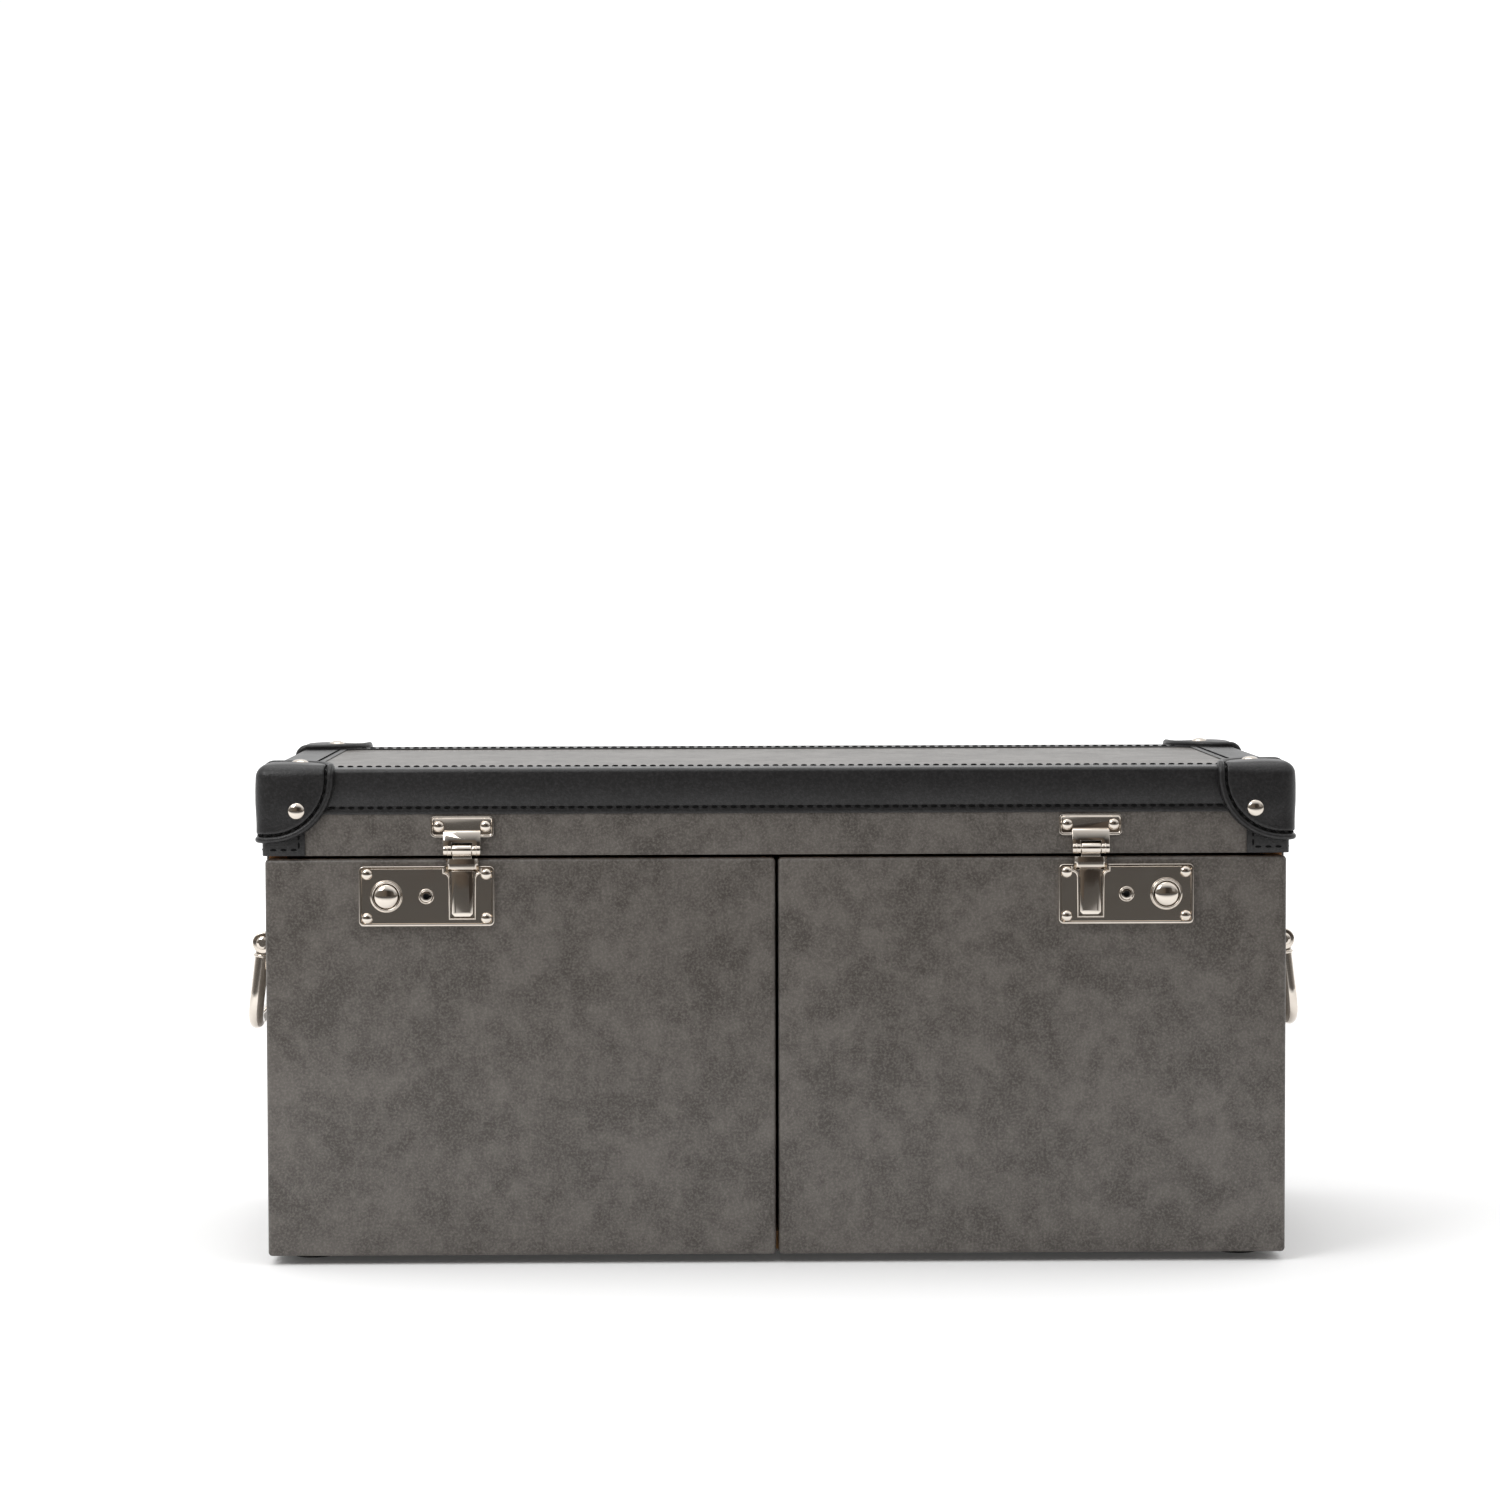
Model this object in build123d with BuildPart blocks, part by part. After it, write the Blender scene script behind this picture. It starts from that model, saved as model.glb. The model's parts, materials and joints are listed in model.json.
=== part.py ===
"""Leather-covered footlocker: hinged lid, two front doors, hasp locks and side bails.

Millimetres. +Z is up, the doors face -Y, +X is to the right. The origin is on the floor,
under the middle of the bounding box. Right-hand parts are drawn, left-hand ones mirrored.
"""

import math
import os

from build123d import *

os.makedirs("parts", exist_ok=True)

# overall sizes
BODY_W = 560.0  # leather to leather across the case
BODY_D = 253.0  # door leather to back leather
DOOR_H = 219.0
LID_H = 46.7
FOOT_H = 5.0
SEAM = 1.8  # door top to lid bottom
DOOR_GAP = 1.6  # between the two doors

# walls
LEATHER = 1.2
BOARD = 9.0
LINING = 0.8

# clearances
REST_GAP = 0.2  # case rim to lid
JOINT_GAP = 0.4  # door back to case front edge
RUN = 0.05  # radial, pin in a turning knuckle
SIDE_PLAY = 0.3  # along a pin, between knuckles
SWEEP = 0.3  # around a turning barrel
SLOT_PLAY = 0.6  # each side of a hasp in its notch

# black trim on the lid
BAND_T, BAND_DROP, BAND_TOP, BAND_R = 0.8, 24.0, 25.0, 1.6
STRIP_T, STRIP_W = 1.3, 23.4
CAP_T, CAP_TOP, CAP_R, CAP_ROUND = 4.6, 3.2, 36.2, 6.0
CAP_SET = 7.0  # centre of the cap's round outline, in from its outer corner on each axis
CAP_RIVET_IN = 22.5  # rivet centre in from the cap's outer edge
CAP_RIVET_DOWN = 25.0

# domed rivets: radius, height
BIG_RIVET = (4.75, 2.2)
SMALL_RIVET = (3.05, 1.8)
RIVET_SHANK_R = 1.3

# locks and hasps, right-hand side
PLATE_W, PLATE_H, PLATE_T, RIM_T, RIM_W, PLATE_R = 74.0, 33.0, 2.8, 3.6, 1.5, 2.5
PLATE_X = 191.5  # plate centre across
PLATE_DROP = 3.8  # plate top below door top
NOTCH_FLOOR = 0.5
PLATE_RIVET_IN = 4.4
BUTTON_X, BUTTON_R, RING_R, RING_T = 213.5, 6.8, 8.75, 4.0
BUTTON_TRAVEL, BUTTON_PROUD, FLANGE_T = 2.0, 7.0, 0.8
PLUG_X, PLUG_R, COLLAR_R, COLLAR_T = 191.6, 3.2, 4.3, 4.4
CAM_T, CAM_W, CAM_BACK, CAM_BITE, CAM_PLAY = 0.8, 4.0, 1.6, 1.8, 0.1
HASP_X, HASP_W, SHOULDER_W, HASP_T = 172.0, 11.5, 18.1, 2.4
SHOULDER_H, HASP_DROP = 7.0, 31.6  # below door top
HASP_BACK = 0.8  # hasp back in front of the door leather
KNUCKLE_R, KNUCKLE_W, NECK_W, HASP_PIN_R = 3.1, 20.4, 10.6, 1.5
KNUCKLE_UP, KNUCKLE_OUT = 3.2, 3.4  # axis above lid bottom, in front of lid
LUG_H, LUG_T, LUG_TOP, LUG_RIVET_DROP = 11.5, 1.6, 21.6, 5.5
LUG_RIVET_X = KNUCKLE_W / 2 + 2.6  # rivets stand clear of the tab
LUG_W = 2 * LUG_RIVET_X + 8.9
TAB_T, TAB_OFF, TAB_DROP = 1.6, 0.3, 8.0

# lid hinges on the back
LH_X, LH_W, LH_LEAF, LH_T, LH_R, LH_PIN_R, LH_OUT = 170.0, 50.0, 18.0, 1.2, 2.8, 1.4, 3.0

# door hinges let into the side edges
DH_L, DH_R, DH_PIN_R, DH_LEAF, DH_IN = 40.0, 2.0, 1.0, 30.0, 2.2
DH_END = 40.0  # hinge centre from the door's top or bottom
RABBET_X, RABBET_Y = 2.6, 3.4

# screws: head radius, shank radius, length
SCREW_HEAD, SCREW_SHANK, SCREW_L = 2.2, 1.1, 7.0
HEAD_R, HEAD_H = 3.0, 1.6

# side bails
BAIL_R, BAIL_HALF, BAIL_LEN, BAIL_BEND, BAIL_TILT = 4.2, 50.0, 47.2, 18.0, 7.0
PIVOT_OUT, PIVOT_Z = 9.5, 171.0
EYE_R, EYE_T = BAIL_R + 1.8, 2 * BAIL_R + 0.6
BAIL_PIN_R, EAR_T, EAR_R = 2.0, 5.0, 5.0
BRACKET_W, BRACKET_H, BRACKET_T = 26.0, 34.0, 2.0

# feet
FOOT_R, FOOT_IN_X, FOOT_IN_Y = 12.0, 22.0, 36.0

# derived positions
HALF = BODY_W / 2
DOOR_T = LEATHER + BOARD + LINING
FRONT_PROUD = max(BUTTON_PROUD, KNUCKLE_OUT + KNUCKLE_R, CAP_T + BIG_RIVET[1])
BACK_PROUD = max(LH_OUT + LH_R, CAP_T + BIG_RIVET[1])
Y_FRONT = -(BODY_D + BACK_PROUD - FRONT_PROUD) / 2
Y_BACK = Y_FRONT + BODY_D
Y_CASE = Y_FRONT + DOOR_T + JOINT_GAP
Y_DOOR_AXIS = Y_CASE - JOINT_GAP / 2
Z_DOOR = FOOT_H + DOOR_H
Z_LID = Z_DOOR + SEAM
Z_RIM = Z_LID - REST_GAP
Z_TOP = Z_LID + LID_H
X_SKIN = HALF - LEATHER  # outer face of the boards
X_IN = X_SKIN - BOARD
X_DOOR_AXIS = HALF - DH_IN
Y_SKIN = Y_BACK - LEATHER
Z_FLOOR = FOOT_H + LEATHER
Z_PLATE = Z_DOOR - PLATE_DROP - PLATE_H / 2
NOTCH_HALF = HASP_W / 2 + SLOT_PLAY
Z_NOTCH = Z_DOOR - HASP_DROP - SLOT_PLAY
CAM_L = PLUG_X - (HASP_X + HASP_W / 2) + CAM_BITE
CAM_Y = (Y_FRONT - CAM_BACK - CAM_T, Y_FRONT - CAM_BACK)
CAM_ROOM_Y = (CAM_Y[0] - CAM_PLAY, CAM_Y[1] + CAM_PLAY)
Z_HASP_AXIS = Z_LID + KNUCKLE_UP
Y_HASP_AXIS = Y_FRONT - KNUCKLE_OUT
Z_LID_AXIS = (Z_RIM + Z_LID) / 2
Y_LID_AXIS = Y_BACK + LH_OUT
HINGE_Z = (FOOT_H + DH_END, Z_DOOR - DH_END)
FRONT, BACK, RIGHT, LEFT, UP = (90, 0, 0), (-90, 0, 0), (0, 90, 0), (0, -90, 0), (0, 0, 0)


def block(x, y, z, mode=Mode.ADD):
    """Box between the pairs x, y and z in the current part."""
    with Locations((sum(x) / 2, sum(y) / 2, sum(z) / 2)):
        Box(x[1] - x[0], y[1] - y[0], z[1] - z[0], mode=mode)


def bar(centre, turn, radius, length, mode=Mode.ADD):
    """Round bar centred on a point, its axis turned from +Z."""
    with Locations(Location(centre, turn)):
        Cylinder(radius, length, mode=mode)


def save(name, part):
    """Label a part and write it."""
    part.part.label = name
    export_step(part.part, f"parts/{name}.step")


def knuckles(length, middle):
    """Spans along a pin for the middle knuckle or the two outer ones."""
    third = length / 3
    if middle:
        return [(-third / 2, third / 2)]
    end = third / 2 + SIDE_PLAY
    return [(-length / 2, -end), (end, length / 2)]


# ---------------------------------------------------------------- small forms, drawn along +Z


def dome(radius, height, shank):
    """Domed head above z = 0 with a shank below it."""
    with BuildPart() as form:
        with BuildSketch(Plane.XZ):
            with BuildLine():
                Line((0, 0), (radius, 0))
                RadiusArc((radius, 0), (0, height), -(radius**2 + height**2) / (2 * height))
                Line((0, height), (0, 0))
            make_face()
        revolve(axis=Axis.Z)
        if shank:
            with Locations((0, 0, -shank / 2)):
                Cylinder(RIVET_SHANK_R, shank)
    return form


big_rivet = dome(*BIG_RIVET, 0)
small_rivet = dome(*SMALL_RIVET, 0)
round_screw = dome(HEAD_R, HEAD_H, SCREW_L)

with BuildPart() as flat_screw:
    with BuildSketch(Plane.XZ):
        with BuildLine():
            Polyline(
                (0, 0), (SCREW_HEAD, 0), (SCREW_SHANK, -LINING),
                (SCREW_SHANK, -SCREW_L), (0, -SCREW_L), (0, 0),
            )
        make_face()
    revolve(axis=Axis.Z)

# ---------------------------------------------------------------- case

with BuildPart() as side_board_right:
    block((X_IN, X_SKIN), (Y_CASE + LINING, Y_SKIN), (Z_FLOOR, Z_RIM - LINING))
    for hz in HINGE_Z:
        bar((X_DOOR_AXIS, Y_DOOR_AXIS, hz), UP, DH_R + SWEEP, DH_L + 2 * SWEEP, Mode.SUBTRACT)

with BuildPart() as side_board_left:
    mirror(side_board_right.part, about=Plane.YZ)

with BuildPart() as back_board:
    block((-X_IN, X_IN), (Y_SKIN - BOARD, Y_SKIN), (Z_FLOOR, Z_RIM - LINING))

with BuildPart() as bottom_board:
    block((-X_IN, X_IN), (Y_CASE + LINING, Y_SKIN - BOARD), (Z_FLOOR, Z_FLOOR + BOARD))

with BuildPart() as case_leather:
    block((-HALF, HALF), (Y_CASE, Y_BACK), (FOOT_H, Z_RIM))
    fillet(case_leather.edges().filter_by(Axis.Z).group_by(Axis.Y)[-1], 2 * LEATHER)
    block((-X_SKIN, X_SKIN), (Y_CASE, Y_SKIN), (Z_FLOOR, Z_RIM), Mode.SUBTRACT)
    for hz in HINGE_Z:
        for hx in (-X_DOOR_AXIS, X_DOOR_AXIS):
            bar((hx, Y_DOOR_AXIS, hz), UP, DH_R + SWEEP, DH_L + 2 * SWEEP, Mode.SUBTRACT)

with BuildPart() as door_hinge_leaves_case:
    for hz in HINGE_Z:
        span = (hz - DH_L / 2, hz + DH_L / 2)
        block((X_IN, X_DOOR_AXIS), (Y_CASE, Y_CASE + LINING), span)
        bar((X_DOOR_AXIS, Y_DOOR_AXIS, hz), UP, DH_R + SWEEP, DH_L, Mode.SUBTRACT)
        for lo, hi in knuckles(DH_L, False):
            with BuildSketch(Plane.XY.offset(hz + lo)):
                with Locations((X_DOOR_AXIS, Y_DOOR_AXIS)):
                    Circle(DH_R)
                with Locations((X_DOOR_AXIS - DH_R / 2 - SWEEP, Y_CASE + LINING / 2)):
                    Rectangle(DH_R, LINING)
                with Locations((X_DOOR_AXIS, Y_DOOR_AXIS)):
                    Circle(DH_PIN_R, mode=Mode.SUBTRACT)
            extrude(amount=hi - lo)
        for dz in (-DH_L / 3, DH_L / 3):
            with Locations(Location((X_IN + SCREW_HEAD + LINING, Y_CASE, hz + dz), FRONT)):
                add(flat_screw.part, mode=Mode.SUBTRACT)
    mirror(door_hinge_leaves_case.part, about=Plane.YZ)

with BuildPart() as case_lining:
    block((-X_SKIN, X_SKIN), (Y_CASE, Y_SKIN), (Z_FLOOR, Z_RIM))
    for wall in (side_board_right, side_board_left, back_board, bottom_board):
        add(wall.part, mode=Mode.SUBTRACT)
    block(
        (-X_IN + LINING, X_IN - LINING),
        (Y_CASE, Y_SKIN - BOARD - LINING),
        (Z_FLOOR + BOARD + LINING, Z_RIM),
        Mode.SUBTRACT,
    )
    for hz in HINGE_Z:
        span = (hz - DH_L / 2, hz + DH_L / 2)
        for hx in (-1, 1):
            edge = sorted((hx * (X_IN - LINING), hx * HALF))
            block(edge, (Y_CASE, Y_CASE + LINING), span, Mode.SUBTRACT)
            axis_at = (hx * X_DOOR_AXIS, Y_DOOR_AXIS, hz)
            bar(axis_at, UP, DH_R + SWEEP, DH_L + 2 * SWEEP, Mode.SUBTRACT)

with BuildPart() as feet:
    for fx in (-HALF + FOOT_IN_X, HALF - FOOT_IN_X):
        for fy in (Y_FRONT + FOOT_IN_Y, Y_BACK - FOOT_IN_Y):
            bar((fx, fy, FOOT_H / 2), UP, FOOT_R, FOOT_H)
    chamfer(feet.edges().group_by(Axis.Z)[0], 1.0)

with BuildPart() as door_hinge_pins:
    for hx in (-X_DOOR_AXIS, X_DOOR_AXIS):
        for hz in HINGE_Z:
            bar((hx, Y_DOOR_AXIS, hz), UP, DH_PIN_R, DH_L)

with BuildPart() as lid_hinge_leaves_case:
    for hx in (-LH_X, LH_X):
        leaf = (Z_LID_AXIS - LH_LEAF - LH_R, Z_LID_AXIS)
        block((hx - LH_W / 2, hx + LH_W / 2), (Y_BACK, Y_BACK + LH_T), leaf)
        bar((hx, Y_LID_AXIS, Z_LID_AXIS), RIGHT, LH_R + SWEEP, LH_W, Mode.SUBTRACT)
        for lo, hi in knuckles(LH_W, False):
            with BuildSketch(Plane.YZ.offset(hx + lo)):
                with Locations((Y_LID_AXIS, Z_LID_AXIS)):
                    Circle(LH_R)
                with Locations((Y_BACK + LH_T / 2, Z_LID_AXIS - LH_R / 2 - SWEEP)):
                    Rectangle(LH_T, LH_R)
                with Locations((Y_LID_AXIS, Z_LID_AXIS)):
                    Circle(LH_PIN_R, mode=Mode.SUBTRACT)
            extrude(amount=hi - lo)
        for dx in (-LH_W / 3, 0, LH_W / 3):
            spot = (hx + dx, Y_BACK + LH_T, Z_LID_AXIS - LH_R - LH_LEAF / 2)
            with Locations(Location(spot, BACK)):
                add(flat_screw.part, mode=Mode.SUBTRACT)

with BuildPart() as lid_hinge_pins:
    for hx in (-LH_X, LH_X):
        bar((hx, Y_LID_AXIS, Z_LID_AXIS), RIGHT, LH_PIN_R, LH_W)

with BuildPart() as hinge_screws_case:
    for hx in (-LH_X, LH_X):
        for dx in (-LH_W / 3, 0, LH_W / 3):
            spot = (hx + dx, Y_BACK + LH_T, Z_LID_AXIS - LH_R - LH_LEAF / 2)
            with Locations(Location(spot, BACK)):
                add(flat_screw.part)
    for hx in (-1, 1):
        for hz in HINGE_Z:
            for dz in (-DH_L / 3, DH_L / 3):
                spot = (hx * (X_IN + SCREW_HEAD + LINING), Y_CASE, hz + dz)
                with Locations(Location(spot, FRONT)):
                    add(flat_screw.part)

with BuildPart() as handle_brackets:
    eye_in = BAIL_HALF - EYE_T / 2 - SIDE_PLAY
    for sy in (-1, 1):
        mid = sy * (eye_in - EAR_T / 2)
        wide = (mid - BRACKET_W / 2, mid + BRACKET_W / 2)
        tall = (PIVOT_Z - BRACKET_H / 2, PIVOT_Z + BRACKET_H / 2)
        block((HALF, HALF + BRACKET_T), wide, tall)
        thick = sorted((sy * eye_in, sy * (eye_in - EAR_T)))
        block((HALF + BRACKET_T, HALF + PIVOT_OUT), thick, (PIVOT_Z - EAR_R, PIVOT_Z + EAR_R))
        bar((HALF + PIVOT_OUT, mid, PIVOT_Z), FRONT, EAR_R, EAR_T)
        bar((HALF + PIVOT_OUT, mid, PIVOT_Z), FRONT, BAIL_PIN_R, EAR_T, Mode.SUBTRACT)
    fillet(handle_brackets.edges().filter_by(Axis.X).filter_by(lambda e: e.length < BRACKET_T + 0.1), 4.0)
    mirror(handle_brackets.part, about=Plane.YZ)

with BuildPart() as handle_pins:
    pin_end = BAIL_HALF + EYE_T / 2 + SIDE_PLAY
    for sy in (-1, 1):
        lo = BAIL_HALF - EYE_T / 2 - SIDE_PLAY - EAR_T
        mid = sy * (lo + pin_end) / 2
        bar((HALF + PIVOT_OUT, mid, PIVOT_Z), FRONT, BAIL_PIN_R, pin_end - lo)
        with Locations(Location((HALF + PIVOT_OUT, sy * pin_end, PIVOT_Z), FRONT if sy < 0 else BACK)):
            add(dome(BAIL_PIN_R + 1.8, HEAD_H, 0).part)
    mirror(handle_pins.part, about=Plane.YZ)

with BuildPart() as handle_screws:
    for sy in (-1, 1):
        mid = sy * (BAIL_HALF - EYE_T / 2 - SIDE_PLAY - EAR_T / 2)
        for dz in (-BRACKET_H / 3, BRACKET_H / 3):
            with Locations(Location((HALF + BRACKET_T, mid, PIVOT_Z + dz), RIGHT)):
                add(round_screw.part)
    mirror(handle_screws.part, about=Plane.YZ)

with BuildPart() as bail_right:
    tilt = math.radians(BAIL_TILT)
    bail_plane = Plane(
        origin=(HALF + PIVOT_OUT, 0, PIVOT_Z),
        x_dir=(0, 1, 0),
        z_dir=(math.cos(tilt), 0, math.sin(tilt)),
    )
    with BuildLine(bail_plane) as bail_path:
        sag = BAIL_LEN - BAIL_BEND
        Line((-BAIL_HALF, 0), (-BAIL_HALF, -sag))
        RadiusArc((-BAIL_HALF, -sag), (-BAIL_HALF + BAIL_BEND, -BAIL_LEN), -BAIL_BEND)
        Line((-BAIL_HALF + BAIL_BEND, -BAIL_LEN), (BAIL_HALF - BAIL_BEND, -BAIL_LEN))
        RadiusArc((BAIL_HALF - BAIL_BEND, -BAIL_LEN), (BAIL_HALF, -sag), -BAIL_BEND)
        Line((BAIL_HALF, -sag), (BAIL_HALF, 0))
    with BuildSketch(Plane(origin=bail_path.line @ 0, z_dir=bail_path.line % 0)):
        Circle(BAIL_R)
    sweep(path=bail_path.line)
    for sy in (-1, 1):
        bar((HALF + PIVOT_OUT, sy * BAIL_HALF, PIVOT_Z), FRONT, EYE_R, EYE_T)
        bore = (HALF + PIVOT_OUT, sy * BAIL_HALF, PIVOT_Z)
        bar(bore, FRONT, BAIL_PIN_R + RUN, EYE_T + 2, Mode.SUBTRACT)

with BuildPart() as bail_left:
    mirror(bail_right.part, about=Plane.YZ)

# ---------------------------------------------------------------- lid

WALL_Z = (Z_LID + LINING, Z_TOP - LEATHER - BOARD)
Y_LID_SKIN = Y_FRONT + LEATHER

with BuildPart() as lid_top_board:
    block((-X_SKIN, X_SKIN), (Y_LID_SKIN, Y_SKIN), (Z_TOP - LEATHER - BOARD, Z_TOP - LEATHER))

with BuildPart() as lid_front_board:
    block((-X_SKIN, X_SKIN), (Y_LID_SKIN, Y_LID_SKIN + BOARD), WALL_Z)

with BuildPart() as lid_back_board:
    block((-X_SKIN, X_SKIN), (Y_SKIN - BOARD, Y_SKIN), WALL_Z)

with BuildPart() as lid_side_boards:
    for sx in (-1, 1):
        across = sorted((sx * X_IN, sx * X_SKIN))
        block(across, (Y_LID_SKIN + BOARD, Y_SKIN - BOARD), WALL_Z)

with BuildPart() as lid_leather:
    block((-HALF, HALF), (Y_FRONT, Y_BACK), (Z_LID, Z_TOP))
    block((-X_SKIN, X_SKIN), (Y_LID_SKIN, Y_SKIN), (Z_LID, Z_TOP - LEATHER), Mode.SUBTRACT)

with BuildPart() as lid_lining:
    block((-X_SKIN, X_SKIN), (Y_LID_SKIN, Y_SKIN), (Z_LID, WALL_Z[1]))
    for wall in (lid_front_board, lid_back_board, lid_side_boards):
        add(wall.part, mode=Mode.SUBTRACT)
    inner_y = (Y_LID_SKIN + BOARD + LINING, Y_SKIN - BOARD - LINING)
    inner_x = (-X_IN + LINING, X_IN - LINING)
    block(inner_x, inner_y, (Z_LID, WALL_Z[1] - LINING), Mode.SUBTRACT)

with BuildPart() as edge_band:
    block(
        (-HALF - BAND_T, HALF + BAND_T),
        (Y_FRONT - BAND_T, Y_BACK + BAND_T),
        (Z_TOP - BAND_DROP, Z_TOP + BAND_T),
    )
    fillet(edge_band.edges().filter_by(Axis.Z) + edge_band.edges().group_by(Axis.Z)[-1], BAND_R)
    block((-HALF, HALF), (Y_FRONT, Y_BACK), (Z_TOP - BAND_DROP, Z_TOP), Mode.SUBTRACT)
    window_x = (-HALF + BAND_TOP, HALF - BAND_TOP)
    window_y = (Y_FRONT + BAND_TOP, Y_BACK - BAND_TOP)
    block(window_x, window_y, (Z_TOP, Z_TOP + BAND_T), Mode.SUBTRACT)

with BuildPart() as corner_strips:
    for sx in (-1, 1):
        for y_face, sy in ((Y_FRONT, -1), (Y_BACK, 1)):
            across = sorted((sx * (HALF + STRIP_T), sx * (HALF + STRIP_T - STRIP_W)))
            along = sorted((y_face + sy * STRIP_T, y_face + sy * (STRIP_T - STRIP_W)))
            block(across, along, (Z_LID, Z_TOP - BAND_DROP))
    for side in (0, -1):
        outer = corner_strips.edges().filter_by(Axis.Z).group_by(Axis.X)[side]
        fillet([e for e in outer if abs(abs((e @ 0).Y - (Y_FRONT + Y_BACK) / 2) - BODY_D / 2) > 1], BAND_R)
    block((-HALF, HALF), (Y_FRONT, Y_BACK), (Z_LID, Z_TOP), Mode.SUBTRACT)


def corner_cap(sx, sy):
    """Padded cap over one top corner of the lid."""
    y_face = Y_FRONT if sy < 0 else Y_BACK
    tip = (sx * (HALF + CAP_T), y_face + sy * CAP_T, Z_TOP + CAP_TOP)
    with BuildPart() as cap:
        across = sorted((tip[0], tip[0] - sx * 2 * CAP_R))
        along = sorted((tip[1], tip[1] - sy * 2 * CAP_R))
        block(across, along, (tip[2] - 2 * CAP_R, tip[2]))
        near = cap.edges().filter_by(lambda e: min((v - Vector(*tip)).length for v in (e @ 0, e @ 1)) < 0.01)
        fillet(near, CAP_ROUND)
        with Locations((tip[0] - sx * CAP_SET, tip[1] - sy * CAP_SET, tip[2] - CAP_SET)):
            Sphere(CAP_R, mode=Mode.INTERSECT)
        block((-HALF, HALF), (Y_FRONT, Y_BACK), (Z_LID, Z_TOP), Mode.SUBTRACT)
        add(edge_band.part, mode=Mode.SUBTRACT)
        add(corner_strips.part, mode=Mode.SUBTRACT)
    return cap


corner_cap_front_right = corner_cap(1, -1)
corner_cap_back_right = corner_cap(1, 1)
corner_cap_front_left = corner_cap(-1, -1)
corner_cap_back_left = corner_cap(-1, 1)

with BuildPart() as corner_rivets:
    for sx in (-1, 1):
        for y_face, sy in ((Y_FRONT, -1), (Y_BACK, 1)):
            x_in = sx * (HALF + CAP_T - CAP_RIVET_IN)
            y_in = y_face + sy * (CAP_T - CAP_RIVET_IN)
            low = Z_TOP + CAP_TOP - CAP_RIVET_DOWN
            with Locations(
                Location((x_in, y_face + sy * CAP_T, low), FRONT if sy < 0 else BACK),
                Location((sx * (HALF + CAP_T), y_in, low), RIGHT if sx > 0 else LEFT),
                Location((x_in, y_in, Z_TOP + CAP_TOP), UP),
            ):
                add(big_rivet.part)

with BuildPart() as hasp_plate_right:
    lug_z = Z_LID + LUG_TOP - LUG_H / 2
    with BuildSketch(Plane(origin=(HASP_X, Y_FRONT, lug_z), x_dir=(1, 0, 0), z_dir=(0, -1, 0))):
        RectangleRounded(LUG_W, LUG_H, 2.5)
    extrude(amount=LUG_T)
    tab = (HASP_X - KNUCKLE_W / 2, HASP_X + KNUCKLE_W / 2)
    tab_y = (Y_FRONT - TAB_OFF - TAB_T, Y_FRONT - TAB_OFF)
    block(tab, tab_y, (Z_HASP_AXIS, Z_LID + LUG_TOP - TAB_DROP))
    bar((HASP_X, Y_HASP_AXIS, Z_HASP_AXIS), RIGHT, KNUCKLE_R, KNUCKLE_W)
    window = (HASP_X - NECK_W / 2 - SIDE_PLAY, HASP_X + NECK_W / 2 + SIDE_PLAY)
    low = Z_HASP_AXIS - KNUCKLE_R
    block(window, (Y_HASP_AXIS - KNUCKLE_R, Y_FRONT), (low, lug_z - LUG_H / 2), Mode.SUBTRACT)
    bar((HASP_X, Y_HASP_AXIS, Z_HASP_AXIS), RIGHT, HASP_PIN_R, KNUCKLE_W, Mode.SUBTRACT)

with BuildPart() as hasp_plate_left:
    mirror(hasp_plate_right.part, about=Plane.YZ)

with BuildPart() as hasp_rivets:
    for sx in (-1, 1):
        for dx in (-LUG_RIVET_X, LUG_RIVET_X):
            spot = (sx * HASP_X + dx, Y_FRONT - LUG_T, Z_LID + LUG_TOP - LUG_RIVET_DROP)
            with Locations(Location(spot, FRONT)):
                add(small_rivet.part)

with BuildPart() as hasp_pins:
    for sx in (-1, 1):
        bar((sx * HASP_X, Y_HASP_AXIS, Z_HASP_AXIS), RIGHT, HASP_PIN_R, KNUCKLE_W)

with BuildPart() as lid_hinge_leaves_lid:
    for hx in (-LH_X, LH_X):
        leaf = (Z_LID_AXIS, Z_LID_AXIS + LH_LEAF + LH_R)
        block((hx - LH_W / 2, hx + LH_W / 2), (Y_BACK, Y_BACK + LH_T), leaf)
        bar((hx, Y_LID_AXIS, Z_LID_AXIS), RIGHT, LH_R + SWEEP, LH_W, Mode.SUBTRACT)
        for lo, hi in knuckles(LH_W, True):
            with BuildSketch(Plane.YZ.offset(hx + lo)):
                with Locations((Y_LID_AXIS, Z_LID_AXIS)):
                    Circle(LH_R)
                with Locations((Y_BACK + LH_T / 2, Z_LID_AXIS + LH_R / 2 + SWEEP)):
                    Rectangle(LH_T, LH_R)
                with Locations((Y_LID_AXIS, Z_LID_AXIS)):
                    Circle(LH_PIN_R + RUN, mode=Mode.SUBTRACT)
            extrude(amount=hi - lo)
        for dx in (-LH_W / 3, 0, LH_W / 3):
            spot = (hx + dx, Y_BACK + LH_T, Z_LID_AXIS + LH_R + LH_LEAF / 2)
            with Locations(Location(spot, BACK)):
                add(flat_screw.part, mode=Mode.SUBTRACT)

with BuildPart() as hinge_screws_lid:
    for hx in (-LH_X, LH_X):
        for dx in (-LH_W / 3, 0, LH_W / 3):
            spot = (hx + dx, Y_BACK + LH_T, Z_LID_AXIS + LH_R + LH_LEAF / 2)
            with Locations(Location(spot, BACK)):
                add(flat_screw.part)

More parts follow.
